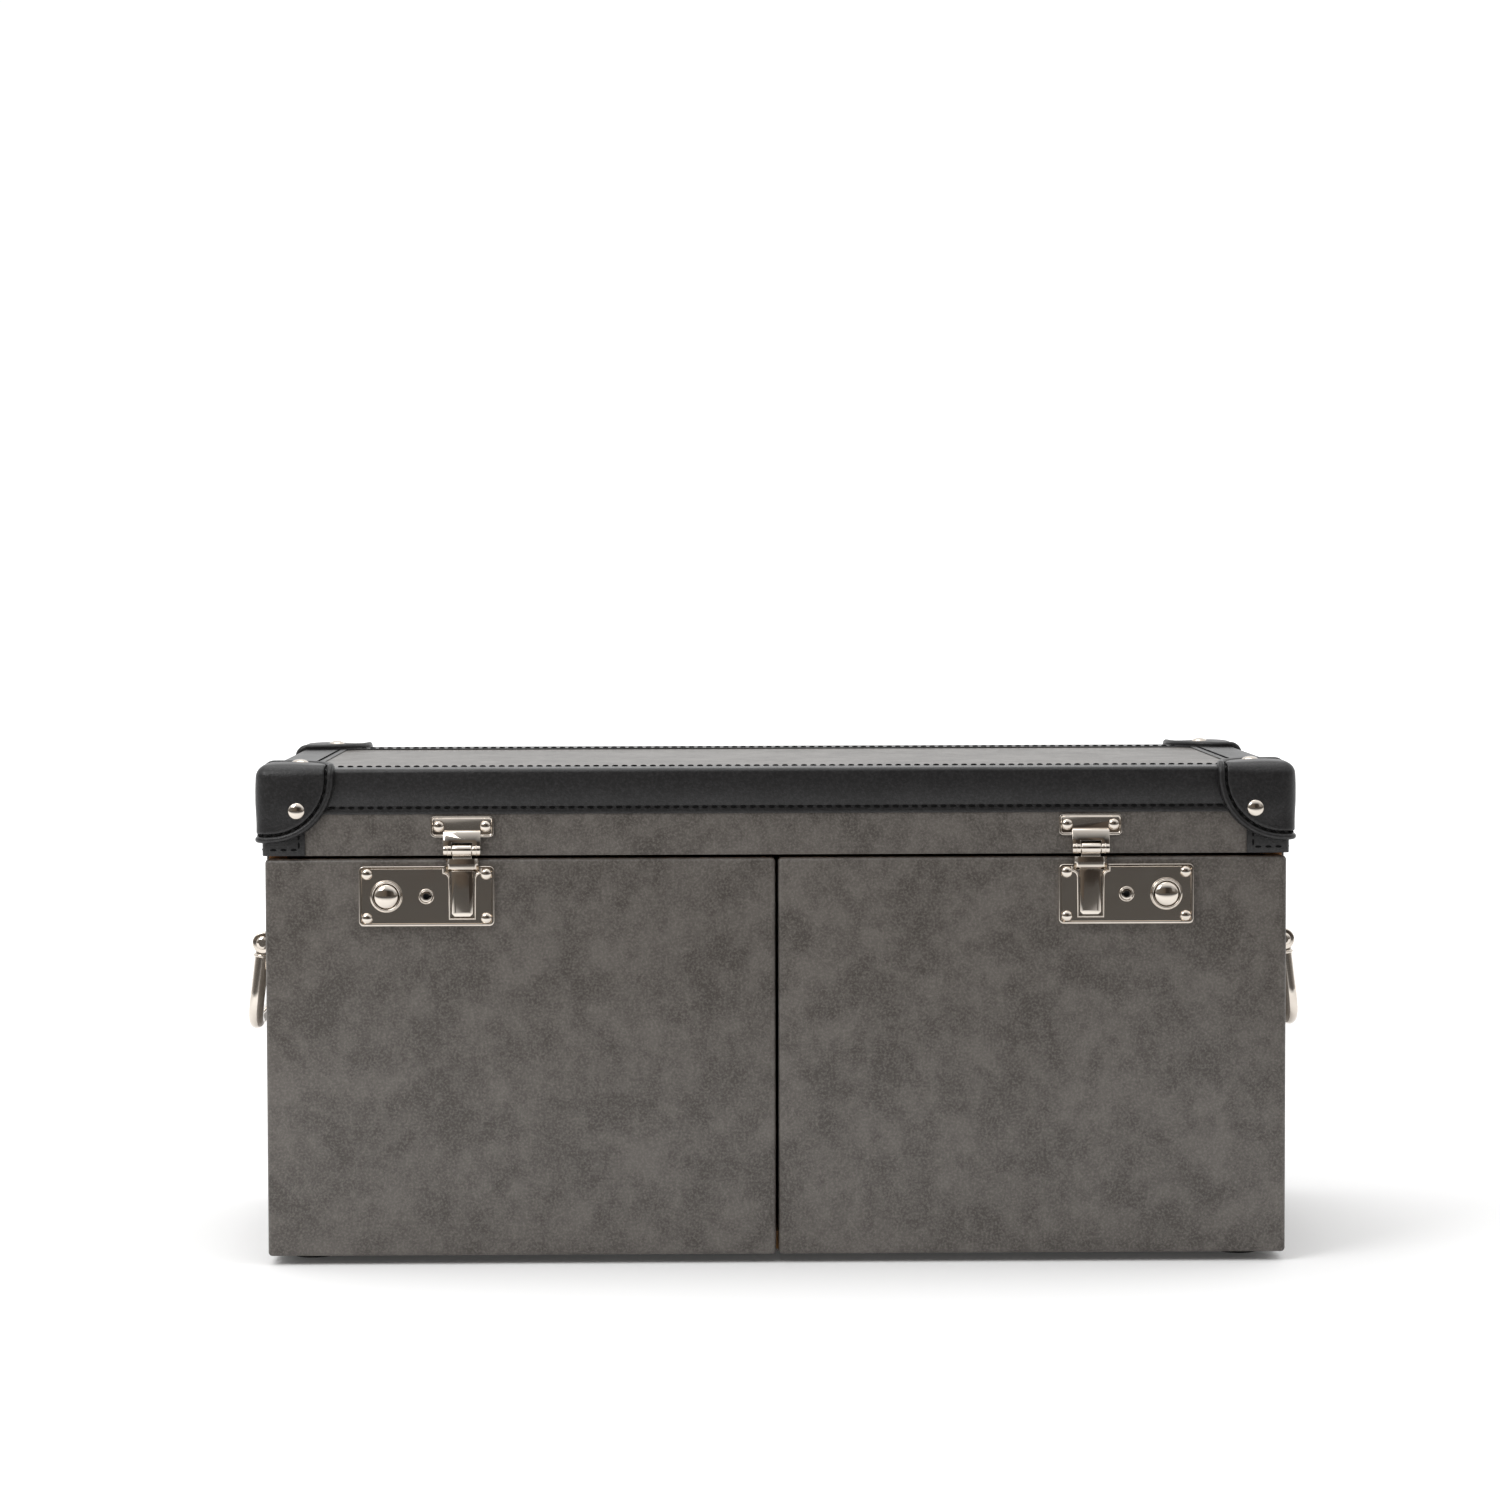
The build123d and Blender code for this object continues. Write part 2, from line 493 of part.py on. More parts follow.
with BuildPart() as hasp_right:
    bar((HASP_X, Y_HASP_AXIS, Z_HASP_AXIS), RIGHT, KNUCKLE_R, NECK_W)
    leaf_y = (Y_FRONT - HASP_BACK - HASP_T, Y_FRONT - HASP_BACK)
    block((HASP_X - NECK_W / 2, HASP_X + NECK_W / 2), leaf_y, (Z_DOOR - 1, Z_HASP_AXIS))
    block((HASP_X - SHOULDER_W / 2, HASP_X + SHOULDER_W / 2), leaf_y, (Z_DOOR - SHOULDER_H, Z_DOOR))
    block((HASP_X - HASP_W / 2, HASP_X + HASP_W / 2), leaf_y, (Z_DOOR - HASP_DROP, Z_DOOR - 1))
    chamfer(hasp_right.edges().filter_by(Axis.Y).group_by(Axis.Z)[0], 1.5)
    slot = (HASP_X + HASP_W / 2 - CAM_BITE - SLOT_PLAY, HASP_X + HASP_W / 2)
    slot_z = (Z_PLATE - CAM_W / 2 - SIDE_PLAY, Z_PLATE + 2 * CAM_W + SIDE_PLAY)
    block(slot, CAM_ROOM_Y, slot_z, Mode.SUBTRACT)
    bar((HASP_X, Y_HASP_AXIS, Z_HASP_AXIS), RIGHT, HASP_PIN_R + RUN, NECK_W, Mode.SUBTRACT)

with BuildPart() as hasp_left:
    mirror(hasp_right.part, about=Plane.YZ)

# ---------------------------------------------------------------- doors

DOOR_X = (DOOR_GAP / 2, HALF)
DOOR_Z = (FOOT_H, Z_DOOR)
CORE_X = (DOOR_GAP / 2 + LEATHER, HALF - LEATHER)
CORE_Z = (FOOT_H + LEATHER, Z_DOOR - LEATHER)
Y_DOOR_IN = Y_FRONT + DOOR_T
RABBET = ((HALF - RABBET_X, HALF + 1), (Y_DOOR_IN - RABBET_Y, Y_DOOR_IN + 1), (0, Z_DOOR + 1))
BUTTON_POCKET = FLANGE_T + BUTTON_TRAVEL + 3 * SIDE_PLAY


def door_recesses():
    """Cut the edge rabbet, the hinge barrels' room and the lock pockets."""
    block(*RABBET, Mode.SUBTRACT)
    for hz in HINGE_Z:
        bar((X_DOOR_AXIS, Y_DOOR_AXIS, hz), UP, DH_R + SWEEP, DH_L + 2 * SWEEP, Mode.SUBTRACT)
    deep = 2 * BUTTON_POCKET
    bar((BUTTON_X, Y_FRONT, Z_PLATE), FRONT, BUTTON_R + 0.9, deep, Mode.SUBTRACT)
    bar((PLUG_X, Y_FRONT, Z_PLATE), FRONT, PLUG_R + 0.9, deep, Mode.SUBTRACT)


with BuildPart() as door_board_right:
    block(CORE_X, (Y_FRONT + LEATHER, Y_DOOR_IN - LINING), CORE_Z)
    door_recesses()

with BuildPart() as door_board_left:
    mirror(door_board_right.part, about=Plane.YZ)

with BuildPart() as door_leather_right:
    block(DOOR_X, (Y_FRONT, Y_DOOR_IN), DOOR_Z)
    face = door_leather_right.faces().sort_by(Axis.Y)[0]
    fillet(face.edges(), 1.5 * LEATHER)
    block(CORE_X, (Y_FRONT + LEATHER, Y_DOOR_IN), CORE_Z, Mode.SUBTRACT)
    door_recesses()

with BuildPart() as door_leather_left:
    mirror(door_leather_right.part, about=Plane.YZ)

with BuildPart() as door_hinge_leaves_right:
    for hz in HINGE_Z:
        span = (hz - DH_L / 2, hz + DH_L / 2)
        block((X_DOOR_AXIS - DH_LEAF, X_DOOR_AXIS), (Y_DOOR_IN - LINING, Y_DOOR_IN), span)
        bar((X_DOOR_AXIS, Y_DOOR_AXIS, hz), UP, DH_R + SWEEP, DH_L, Mode.SUBTRACT)
        for lo, hi in knuckles(DH_L, True):
            with BuildSketch(Plane.XY.offset(hz + lo)):
                with Locations((X_DOOR_AXIS, Y_DOOR_AXIS)):
                    Circle(DH_R)
                with Locations((X_DOOR_AXIS - DH_R / 2 - SWEEP, Y_DOOR_IN - LINING / 2)):
                    Rectangle(DH_R, LINING)
                with Locations((X_DOOR_AXIS, Y_DOOR_AXIS)):
                    Circle(DH_PIN_R + RUN, mode=Mode.SUBTRACT)
            extrude(amount=hi - lo)
        for dz in (-DH_L / 3, DH_L / 3):
            spot = (X_DOOR_AXIS - DH_LEAF * 0.6, Y_DOOR_IN, hz + dz)
            with Locations(Location(spot, BACK)):
                add(flat_screw.part, mode=Mode.SUBTRACT)

with BuildPart() as door_hinge_leaves_left:
    mirror(door_hinge_leaves_right.part, about=Plane.YZ)

with BuildPart() as door_lining_right:
    block(CORE_X, (Y_DOOR_IN - LINING, Y_DOOR_IN), CORE_Z)
    block(*RABBET, Mode.SUBTRACT)
    for hz in HINGE_Z:
        span = (hz - DH_L / 2, hz + DH_L / 2)
        block((X_DOOR_AXIS - DH_LEAF, HALF), (Y_DOOR_IN - LINING, Y_DOOR_IN), span, Mode.SUBTRACT)
        bar((X_DOOR_AXIS, Y_DOOR_AXIS, hz), UP, DH_R + SWEEP, DH_L + 2 * SWEEP, Mode.SUBTRACT)

with BuildPart() as door_lining_left:
    mirror(door_lining_right.part, about=Plane.YZ)

with BuildPart() as door_hinge_screws_right:
    for hz in HINGE_Z:
        for dz in (-DH_L / 3, DH_L / 3):
            spot = (X_DOOR_AXIS - DH_LEAF * 0.6, Y_DOOR_IN, hz + dz)
            with Locations(Location(spot, BACK)):
                add(flat_screw.part)

with BuildPart() as door_hinge_screws_left:
    mirror(door_hinge_screws_right.part, about=Plane.YZ)

PLATE_PLANE = Plane(origin=(PLATE_X, Y_FRONT, Z_PLATE), x_dir=(1, 0, 0), z_dir=(0, -1, 0))
TOP = PLATE_H / 2
NOTCH_X = HASP_X - PLATE_X
FLARE = SHOULDER_W / 2 + SLOT_PLAY
FLARE_1 = TOP - (SHOULDER_H - PLATE_DROP) - SLOT_PLAY
NOTCH_LOW = Z_NOTCH - Z_PLATE
PLATE_RIVETS = [
    (
        PLATE_X + dx * (PLATE_W / 2 - PLATE_RIVET_IN),
        Y_FRONT - PLATE_T,
        Z_PLATE + dz * (PLATE_H / 2 - PLATE_RIVET_IN),
    )
    for dx in (-1, 1)
    for dz in (-1, 1)
]


def notch_outline(grow):
    """Half-outline points of the hasp's channel, grown sideways and downwards."""
    return [
        (NOTCH_X - FLARE - grow, TOP + 0.01),
        (NOTCH_X - FLARE - grow, FLARE_1),
        (NOTCH_X - NOTCH_HALF - grow, FLARE_1 - 4.0),
        (NOTCH_X - NOTCH_HALF - grow, NOTCH_LOW - grow),
        (NOTCH_X + NOTCH_HALF + grow, NOTCH_LOW - grow),
        (NOTCH_X + NOTCH_HALF + grow, FLARE_1 - 4.0),
        (NOTCH_X + FLARE + grow, FLARE_1),
        (NOTCH_X + FLARE + grow, TOP + 0.01),
        (NOTCH_X - FLARE - grow, TOP + 0.01),
    ]


with BuildPart() as lock_plate_right:
    with BuildSketch(PLATE_PLANE):
        RectangleRounded(PLATE_W, PLATE_H, PLATE_R)
    extrude(amount=PLATE_T)
    with BuildSketch(PLATE_PLANE) as rim:
        RectangleRounded(PLATE_W, PLATE_H, PLATE_R)
        RectangleRounded(PLATE_W - 2 * RIM_W, PLATE_H - 2 * RIM_W, 1.5, mode=Mode.SUBTRACT)
        with BuildLine(mode=Mode.PRIVATE) as outer_channel:
            Polyline(*notch_outline(RIM_W))
        make_face(outer_channel.edges())
        RectangleRounded(PLATE_W, PLATE_H, PLATE_R, mode=Mode.INTERSECT)
    extrude(amount=RIM_T)
    with Locations((BUTTON_X, Y_FRONT - RING_T / 2, Z_PLATE)):
        Cylinder(RING_R, RING_T, rotation=FRONT)
    with Locations((PLUG_X, Y_FRONT - COLLAR_T / 2, Z_PLATE)):
        Cylinder(COLLAR_R, COLLAR_T, rotation=FRONT)
    with BuildSketch(PLATE_PLANE.offset(NOTCH_FLOOR)):
        with BuildLine() as channel:
            Polyline(*notch_outline(0))
        make_face()
    extrude(amount=RIM_T, mode=Mode.SUBTRACT)
    bar((BUTTON_X, Y_FRONT, Z_PLATE), FRONT, BUTTON_R + 2 * RUN, 4 * RING_T, Mode.SUBTRACT)
    bar((PLUG_X, Y_FRONT, Z_PLATE), FRONT, PLUG_R + RUN, 4 * RING_T, Mode.SUBTRACT)
    for spot in PLATE_RIVETS:
        with Locations(Location(spot, FRONT)):
            Cylinder(
                SMALL_RIVET[0] + RUN,
                RIM_T,
                align=(Align.CENTER, Align.CENTER, Align.MIN),
                mode=Mode.SUBTRACT,
            )
    with BuildSketch(Plane(origin=(PLUG_X, CAM_ROOM_Y[1], Z_PLATE), x_dir=(1, 0, 0), z_dir=(0, -1, 0))):
        Circle(CAM_L + 3 * CAM_PLAY)
        reach = CAM_L + 3 * CAM_PLAY
        side = CAM_W / 2 + SIDE_PLAY
        with Locations(((side - reach) / 2, (reach - side) / 2)):
            Rectangle(reach + side, reach + side, mode=Mode.INTERSECT)
    extrude(amount=CAM_T + 2 * CAM_PLAY, mode=Mode.SUBTRACT)

with BuildPart() as lock_plate_left:
    mirror(lock_plate_right.part, about=Plane.YZ)

with BuildPart() as lock_rivets_right:
    for spot in PLATE_RIVETS:
        with Locations(Location(spot, FRONT)):
            add(small_rivet.part)

with BuildPart() as lock_rivets_left:
    mirror(lock_rivets_right.part, about=Plane.YZ)

with BuildPart() as lock_button_right:
    bar((BUTTON_X, Y_FRONT - (RING_T + 0.6) / 2, Z_PLATE), FRONT, BUTTON_R, RING_T + 0.6)
    cap_h = BUTTON_PROUD - RING_T - 0.6
    with Locations(Location((BUTTON_X, Y_FRONT - RING_T - 0.6, Z_PLATE), FRONT)):
        add(dome(BUTTON_R, cap_h, 0).part)
    bar((BUTTON_X, Y_FRONT + 0.15 + FLANGE_T / 2, Z_PLATE), FRONT, BUTTON_R + 0.5, FLANGE_T)
    bar((BUTTON_X, Y_FRONT + 0.1, Z_PLATE), FRONT, BUTTON_R, 0.4)

with BuildPart() as lock_button_left:
    mirror(lock_button_right.part, about=Plane.YZ)

with BuildPart() as key_plug_right:
    bar((PLUG_X, Y_FRONT - COLLAR_T / 2, Z_PLATE), FRONT, PLUG_R, COLLAR_T)
    bar((PLUG_X, Y_FRONT + 0.15 + FLANGE_T / 2, Z_PLATE), FRONT, PLUG_R + 0.5, FLANGE_T)
    bar((PLUG_X, Y_FRONT + 0.1, Z_PLATE), FRONT, PLUG_R, 0.4)
    slot_y = (Y_FRONT - COLLAR_T, Y_FRONT - COLLAR_T + 3)
    block((PLUG_X - 0.5, PLUG_X + 0.5), slot_y, (Z_PLATE - 2.2, Z_PLATE + 1.2), Mode.SUBTRACT)
    bar((PLUG_X, Y_FRONT - COLLAR_T + 1.5, Z_PLATE + 1.0), FRONT, 1.0, 3.0, Mode.SUBTRACT)

with BuildPart() as key_plug_left:
    mirror(key_plug_right.part, about=Plane.YZ)

with BuildPart() as lock_cam_right:
    block((PLUG_X - CAM_W / 2, PLUG_X + CAM_W / 2), CAM_Y, (Z_PLATE, Z_PLATE + CAM_L))
    bar((PLUG_X, Y_FRONT, Z_PLATE), FRONT, PLUG_R, 4 * RING_T, Mode.SUBTRACT)

with BuildPart() as lock_cam_left:
    mirror(lock_cam_right.part, about=Plane.YZ)

# ---------------------------------------------------------------- files

save("side_board_right", side_board_right)
save("side_board_left", side_board_left)
save("back_board", back_board)
save("bottom_board", bottom_board)
save("case_leather", case_leather)
save("case_lining", case_lining)
save("feet", feet)
save("door_hinge_leaves_case", door_hinge_leaves_case)
save("door_hinge_pins", door_hinge_pins)
save("lid_hinge_leaves_case", lid_hinge_leaves_case)
save("lid_hinge_pins", lid_hinge_pins)
save("hinge_screws_case", hinge_screws_case)
save("handle_brackets", handle_brackets)
save("handle_pins", handle_pins)
save("handle_screws", handle_screws)
save("bail_right", bail_right)
save("bail_left", bail_left)
save("lid_top_board", lid_top_board)
save("lid_front_board", lid_front_board)
save("lid_back_board", lid_back_board)
save("lid_side_boards", lid_side_boards)
save("lid_leather", lid_leather)
save("lid_lining", lid_lining)
save("edge_band", edge_band)
save("corner_strips", corner_strips)
save("corner_cap_front_right", corner_cap_front_right)
save("corner_cap_back_right", corner_cap_back_right)
save("corner_cap_front_left", corner_cap_front_left)
save("corner_cap_back_left", corner_cap_back_left)
save("corner_rivets", corner_rivets)
save("hasp_plate_right", hasp_plate_right)
save("hasp_plate_left", hasp_plate_left)
save("hasp_rivets", hasp_rivets)
save("hasp_pins", hasp_pins)
save("lid_hinge_leaves_lid", lid_hinge_leaves_lid)
save("hinge_screws_lid", hinge_screws_lid)
save("hasp_right", hasp_right)
save("hasp_left", hasp_left)
save("door_board_right", door_board_right)
save("door_board_left", door_board_left)
save("door_leather_right", door_leather_right)
save("door_leather_left", door_leather_left)
save("door_hinge_leaves_right", door_hinge_leaves_right)
save("door_hinge_leaves_left", door_hinge_leaves_left)
save("door_lining_right", door_lining_right)
save("door_lining_left", door_lining_left)
save("door_hinge_screws_right", door_hinge_screws_right)
save("door_hinge_screws_left", door_hinge_screws_left)
save("lock_plate_right", lock_plate_right)
save("lock_plate_left", lock_plate_left)
save("lock_rivets_right", lock_rivets_right)
save("lock_rivets_left", lock_rivets_left)
save("lock_button_right", lock_button_right)
save("lock_button_left", lock_button_left)
save("key_plug_right", key_plug_right)
save("key_plug_left", key_plug_left)
save("lock_cam_right", lock_cam_right)
save("lock_cam_left", lock_cam_left)
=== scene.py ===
"""Looks for a leather-covered footlocker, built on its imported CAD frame.

Metres, in the frame of the CAD part: +Z up, the doors face -Y, +X to the right.
"""

import json
import logging
import math
from collections.abc import Callable, Iterator, Sequence
from contextlib import contextmanager
from dataclasses import dataclass, field
from enum import Enum

import bmesh
import bpy
from mathutils import Matrix, Vector


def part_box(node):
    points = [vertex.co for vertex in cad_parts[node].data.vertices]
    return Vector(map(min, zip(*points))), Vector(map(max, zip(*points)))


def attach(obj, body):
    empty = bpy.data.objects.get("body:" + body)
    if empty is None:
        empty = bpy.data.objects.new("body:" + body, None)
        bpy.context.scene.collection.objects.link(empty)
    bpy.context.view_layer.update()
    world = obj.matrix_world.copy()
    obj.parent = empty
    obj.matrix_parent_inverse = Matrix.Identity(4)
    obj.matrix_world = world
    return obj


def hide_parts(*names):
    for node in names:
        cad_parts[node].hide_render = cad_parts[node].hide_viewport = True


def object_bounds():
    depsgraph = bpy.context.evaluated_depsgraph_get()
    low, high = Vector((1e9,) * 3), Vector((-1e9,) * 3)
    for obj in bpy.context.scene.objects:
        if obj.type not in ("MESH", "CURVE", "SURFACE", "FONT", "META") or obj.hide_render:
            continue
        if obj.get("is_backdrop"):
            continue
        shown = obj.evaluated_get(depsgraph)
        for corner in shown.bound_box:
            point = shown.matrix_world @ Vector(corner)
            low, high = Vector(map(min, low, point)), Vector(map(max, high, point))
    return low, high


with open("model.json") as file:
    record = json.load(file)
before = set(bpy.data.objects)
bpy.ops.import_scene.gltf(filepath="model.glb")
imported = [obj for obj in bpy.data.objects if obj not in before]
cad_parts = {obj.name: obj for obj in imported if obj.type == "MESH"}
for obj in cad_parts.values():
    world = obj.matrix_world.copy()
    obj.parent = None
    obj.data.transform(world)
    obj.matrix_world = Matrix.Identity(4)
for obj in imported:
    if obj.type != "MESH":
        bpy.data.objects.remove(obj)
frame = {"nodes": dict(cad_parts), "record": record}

LOG = logging.getLogger("footlocker")
MM = 0.001
# Two places nearer than this are the same place.
TOUCH = 1e-5
FRONT = Vector((0, -1, 0))
UP = Vector((0, 0, 1))
Colour = tuple[float, float, float]
Test = Callable[[Vector, Vector], bool]


class Element(Enum):
    """What a selection picks in edit mode."""

    EDGE = "EDGE"
    FACE = "FACE"


class Cut(Enum):
    """What a tool does to the piece it meets."""

    AWAY = "DIFFERENCE"
    ADD = "UNION"
    KEEP_SHARED = "INTERSECT"


class Side(Enum):
    """Right or left half of the footlocker, as a sign along X."""

    RIGHT = 1
    LEFT = -1

    @property
    def word(self) -> str:
        """The ending that this side's nodes and bodies carry."""
        return self.name.lower()


@dataclass(frozen=True)
class Extent:
    """Lowest and highest corners of something in the frame."""

    lo: Vector
    hi: Vector

    @property
    def centre(self) -> Vector:
        """The middle of the extent."""
        return (self.lo + self.hi) / 2

    @property
    def size(self) -> Vector:
        """The lengths along X, Y and Z."""
        return self.hi - self.lo


def extent(node: str) -> Extent:
    """Where a CAD node is.

    Args:
        node: name of the CAD node.

    Returns:
        The node's extent at rest.
    """
    return Extent(*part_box(node))


def islands(node: str) -> list[Extent]:
    """Where each separate solid of a CAD node is.

    Args:
        node: name of a CAD node of several solids.

    Returns:
        One extent for each solid, sorted by place.
    """
    cad = bmesh.new()
    cad.from_mesh(frame["nodes"][node].data)
    bmesh.ops.remove_doubles(cad, verts=cad.verts, dist=1e-6)
    found, seen = [], set()
    for first in cad.verts:
        if first in seen:
            continue
        group, queue = [], [first]
        seen.add(first)
        while queue:
            vert = queue.pop()
            group.append(vert.co.copy())
            for edge in vert.link_edges:
                other = edge.other_vert(vert)
                if other not in seen:
                    seen.add(other)
                    queue.append(other)
        lo = Vector([min(co[k] for co in group) for k in range(3)])
        hi = Vector([max(co[k] for co in group) for k in range(3)])
        found.append(Extent(lo, hi))
    cad.free()
    return sorted(found, key=lambda e: tuple(round(c, 5) for c in e.centre))


class Bench:
    """Modelling steps that the sub-assemblies share, each by Blender's own operators."""

    @staticmethod
    def clear() -> None:
        """Leave edit mode and deselect everything."""
        if bpy.context.object and bpy.context.object.mode != "OBJECT":
            bpy.ops.object.mode_set(mode="OBJECT")
        bpy.ops.object.select_all(action="DESELECT")

    @staticmethod
    def activate(piece: bpy.types.Object) -> None:
        """Make one object the only selected and active one.

        Args:
            piece: the object.
        """
        Bench.clear()
        piece.select_set(True)
        bpy.context.view_layer.objects.active = piece

    @staticmethod
    @contextmanager
    def editing(piece: bpy.types.Object) -> Iterator[None]:
        """Edit mode on one object, starting with nothing selected.

        Args:
            piece: the object to edit.

        Yields:
            Nothing; edit mode lasts as long as the block does.
        """
        Bench.activate(piece)
        bpy.ops.object.mode_set(mode="EDIT")
        bpy.ops.mesh.select_all(action="DESELECT")
        yield
        bpy.ops.object.mode_set(mode="OBJECT")

    @staticmethod
    def pick(piece: bpy.types.Object, element: Element, test: Test) -> int:
        """Select the edges or faces that pass a test, in edit mode.

        Args:
            piece: the object being edited.
            element: edges or faces.
            test: takes the middle and the direction (an edge's run or a face's normal).

        Returns:
            How many were selected.
        """
        bpy.ops.mesh.select_mode(type=element.value)
        shape = bmesh.from_edit_mesh(piece.data)
        count = 0
        if element is Element.EDGE:
            for edge in shape.edges:
                a, b = (v.co for v in edge.verts)
                if test((a + b) / 2, (b - a).normalized()):
                    edge.select_set(True)
                    count += 1
        else:
            for face in shape.faces:
                if test(face.calc_center_median(), face.normal):
                    face.select_set(True)
                    count += 1
        bmesh.update_edit_mesh(piece.data)
        return count

    @staticmethod
    def named(name: str) -> bpy.types.Object:
        """Name the new primitive and fix its place in its mesh.

        Args:
            name: its name.

        Returns:
            The primitive.
        """
        piece = bpy.context.object
        piece.name = name
        bpy.ops.object.transform_apply(location=True, rotation=True, scale=True)
        return piece

    @staticmethod
    def block(name: str, lo: Sequence[float], hi: Sequence[float]) -> bpy.types.Object:
        """Add a box between two corners.

        Args:
            name: name of the new object.
            lo: lowest corner.
            hi: highest corner.

        Returns:
            The new object.
        """
        Bench.clear()
        low, high = Vector(lo), Vector(hi)
        bpy.ops.mesh.primitive_cube_add(size=1, location=(low + high) / 2)
        bpy.context.object.scale = high - low
        return Bench.named(name)

    @staticmethod
    def turn_to(axis: Sequence[float]) -> Sequence[float]:
        """Euler angles that turn +Z to an axis."""
        return Vector(axis).to_track_quat("Z", "Y").to_euler()

    @staticmethod
    def drum(name: str, centre: Vector, axis: Sequence[float], radius: float,
             length: float, sides: int = 48) -> bpy.types.Object:
        """Add a cylinder.

        Args:
            name: name of the new object.
            centre: its middle.
            axis: direction it runs along.
            radius: its radius.
            length: its length.
            sides: facets round it.

        Returns:
            The new object.
        """
        Bench.clear()
        bpy.ops.mesh.primitive_cylinder_add(
            vertices=sides, radius=radius, depth=length, location=centre, rotation=Bench.turn_to(axis))
        return Bench.named(name)

    @staticmethod
    def ring(name: str, centre: Vector, axis: Sequence[float], radius: float,
             thickness: float) -> bpy.types.Object:
        """Add a torus.

        Args:
            name: name of the new object.
            centre: its middle.
            axis: the axis it goes round.
            radius: radius of its centre line.
            thickness: radius of its round section.

        Returns:
            The new object.
        """
        Bench.clear()
        bpy.ops.mesh.primitive_torus_add(
            major_radius=radius, minor_radius=thickness, major_segments=48, minor_segments=12,
            location=centre, rotation=Bench.turn_to(axis))
        return Bench.named(name)

    @staticmethod
    def ball(name: str, centre: Vector, scale: Sequence[float]) -> bpy.types.Object:
        """Add a sphere stretched to three radii.

        Args:
            name: name of the new object.
            centre: its middle.
            scale: its radii along X, Y and Z.

        Returns:
            The new object.
        """
        Bench.clear()
        bpy.ops.mesh.primitive_uv_sphere_add(segments=40, ring_count=24, radius=1, location=centre)
        bpy.context.object.scale = Vector(scale)
        return Bench.named(name)

    @staticmethod
    def tube(name: str, points: Sequence[Vector], radius: float, closed: bool = False,
             smooth: bool = True) -> bpy.types.Object:
        """Sweep a round section along points.

        Args:
            name: name of the new object.
            points: points of the path.
            radius: radius of the section.
            closed: whether the path closes on itself.
            smooth: whether the path is a smooth curve or straight runs.

        Returns:
            The new mesh object.
        """
        Bench.clear()
        data = bpy.data.curves.new(name, "CURVE")
        data.dimensions = "3D"
        spline = data.splines.new("NURBS" if smooth else "POLY")
        spline.points.add(len(points) - 1)
        for point, place in zip(spline.points, points):
            point.co = (*place, 1)
        if smooth:
            spline.order_u = 3
            spline.use_endpoint_u = not closed
        spline.use_cyclic_u = closed
        data.resolution_u = 6
        data.bevel_depth = radius
        data.bevel_resolution = 5
        data.use_fill_caps = not closed
        piece = bpy.data.objects.new(name, data)
        bpy.context.scene.collection.objects.link(piece)
        Bench.activate(piece)
        bpy.ops.object.convert(target="MESH")
        return bpy.context.object

    @staticmethod
    def modify(piece: bpy.types.Object, kind: str, **settings: object) -> None:
        """Add a modifier, set it up and apply it.

        Args:
            piece: the object to change.
            kind: the modifier's type.
            **settings: its properties.
        """
        Bench.activate(piece)
        bpy.ops.object.modifier_add(type=kind)
        modifier = piece.modifiers[-1]
        for key, value in settings.items():
            setattr(modifier, key, value)
        bpy.ops.object.modifier_apply(modifier=modifier.name)

    @staticmethod
    def carve(piece: bpy.types.Object, tool: bpy.types.Object, cut: Cut = Cut.AWAY) -> None:
        """Cut one object by another and remove the tool.

        Args:
            piece: the object to change.
            tool: the object that cuts, joins or meets it.
            cut: what is done with the tool.
        """
        Bench.modify(piece, "BOOLEAN", object=tool, operation=cut.value, solver="EXACT")
        bpy.data.objects.remove(tool)

    @staticmethod
    def round_edges(piece: bpy.types.Object, width: float, steps: int = 3,
                    test: Test = lambda middle, run: True) -> None:
        """Bevel the edges that pass a test.

        Args:
            piece: the object to change.
            width: width of the bevel.
            steps: segments across it.
            test: takes an edge's middle and run.
        """
        with Bench.editing(piece):
            if Bench.pick(piece, Element.EDGE, test):
                bpy.ops.mesh.bevel(offset=width, segments=steps, affect="EDGES", clamp_overlap=True)

    @staticmethod
    def ease(piece: bpy.types.Object, width: float, steps: int = 2, angle: float = 35) -> None:
        """Bevel every edge sharper than an angle, by a modifier.

        Args:
            piece: the object to change.
            width: width of the bevel.
            steps: segments across it.
            angle: the angle, in degrees.
        """
        Bench.modify(piece, "BEVEL", width=width, segments=steps, limit_method="ANGLE",
                     angle_limit=math.radians(angle), use_clamp_overlap=True)

    @staticmethod
    def join(name: str, pieces: Sequence[bpy.types.Object]) -> bpy.types.Object:
        """Join objects into the first one.

        Args:
            name: name of the joined object.
            pieces: the objects.

        Returns:
            The joined object.
        """
        Bench.activate(pieces[0])
        for piece in pieces:
            piece.select_set(True)
        bpy.ops.object.join()
        bpy.context.object.name = name
        return bpy.context.object

    @staticmethod
    def copies(name: str, pattern: bpy.types.Object, places: Sequence[Matrix]) -> bpy.types.Object:
        """Repeat a pattern's mesh at many places, in one object.

        Args:
            name: name of the new object.
            pattern: the object repeated, which is removed.
            places: where each copy goes.

        Returns:
            The new object.
        """
        shape = bmesh.new()
        for place in places:
            before = len(shape.verts)
            shape.from_mesh(pattern.data)
            shape.verts.ensure_lookup_table()
            bmesh.ops.transform(shape, matrix=place, verts=shape.verts[before:])
        data = bpy.data.meshes.new(name)
        shape.to_mesh(data)
        shape.free()
        piece = bpy.data.objects.new(name, data)
        bpy.context.scene.collection.objects.link(piece)
        bpy.data.objects.remove(pattern)
        return piece

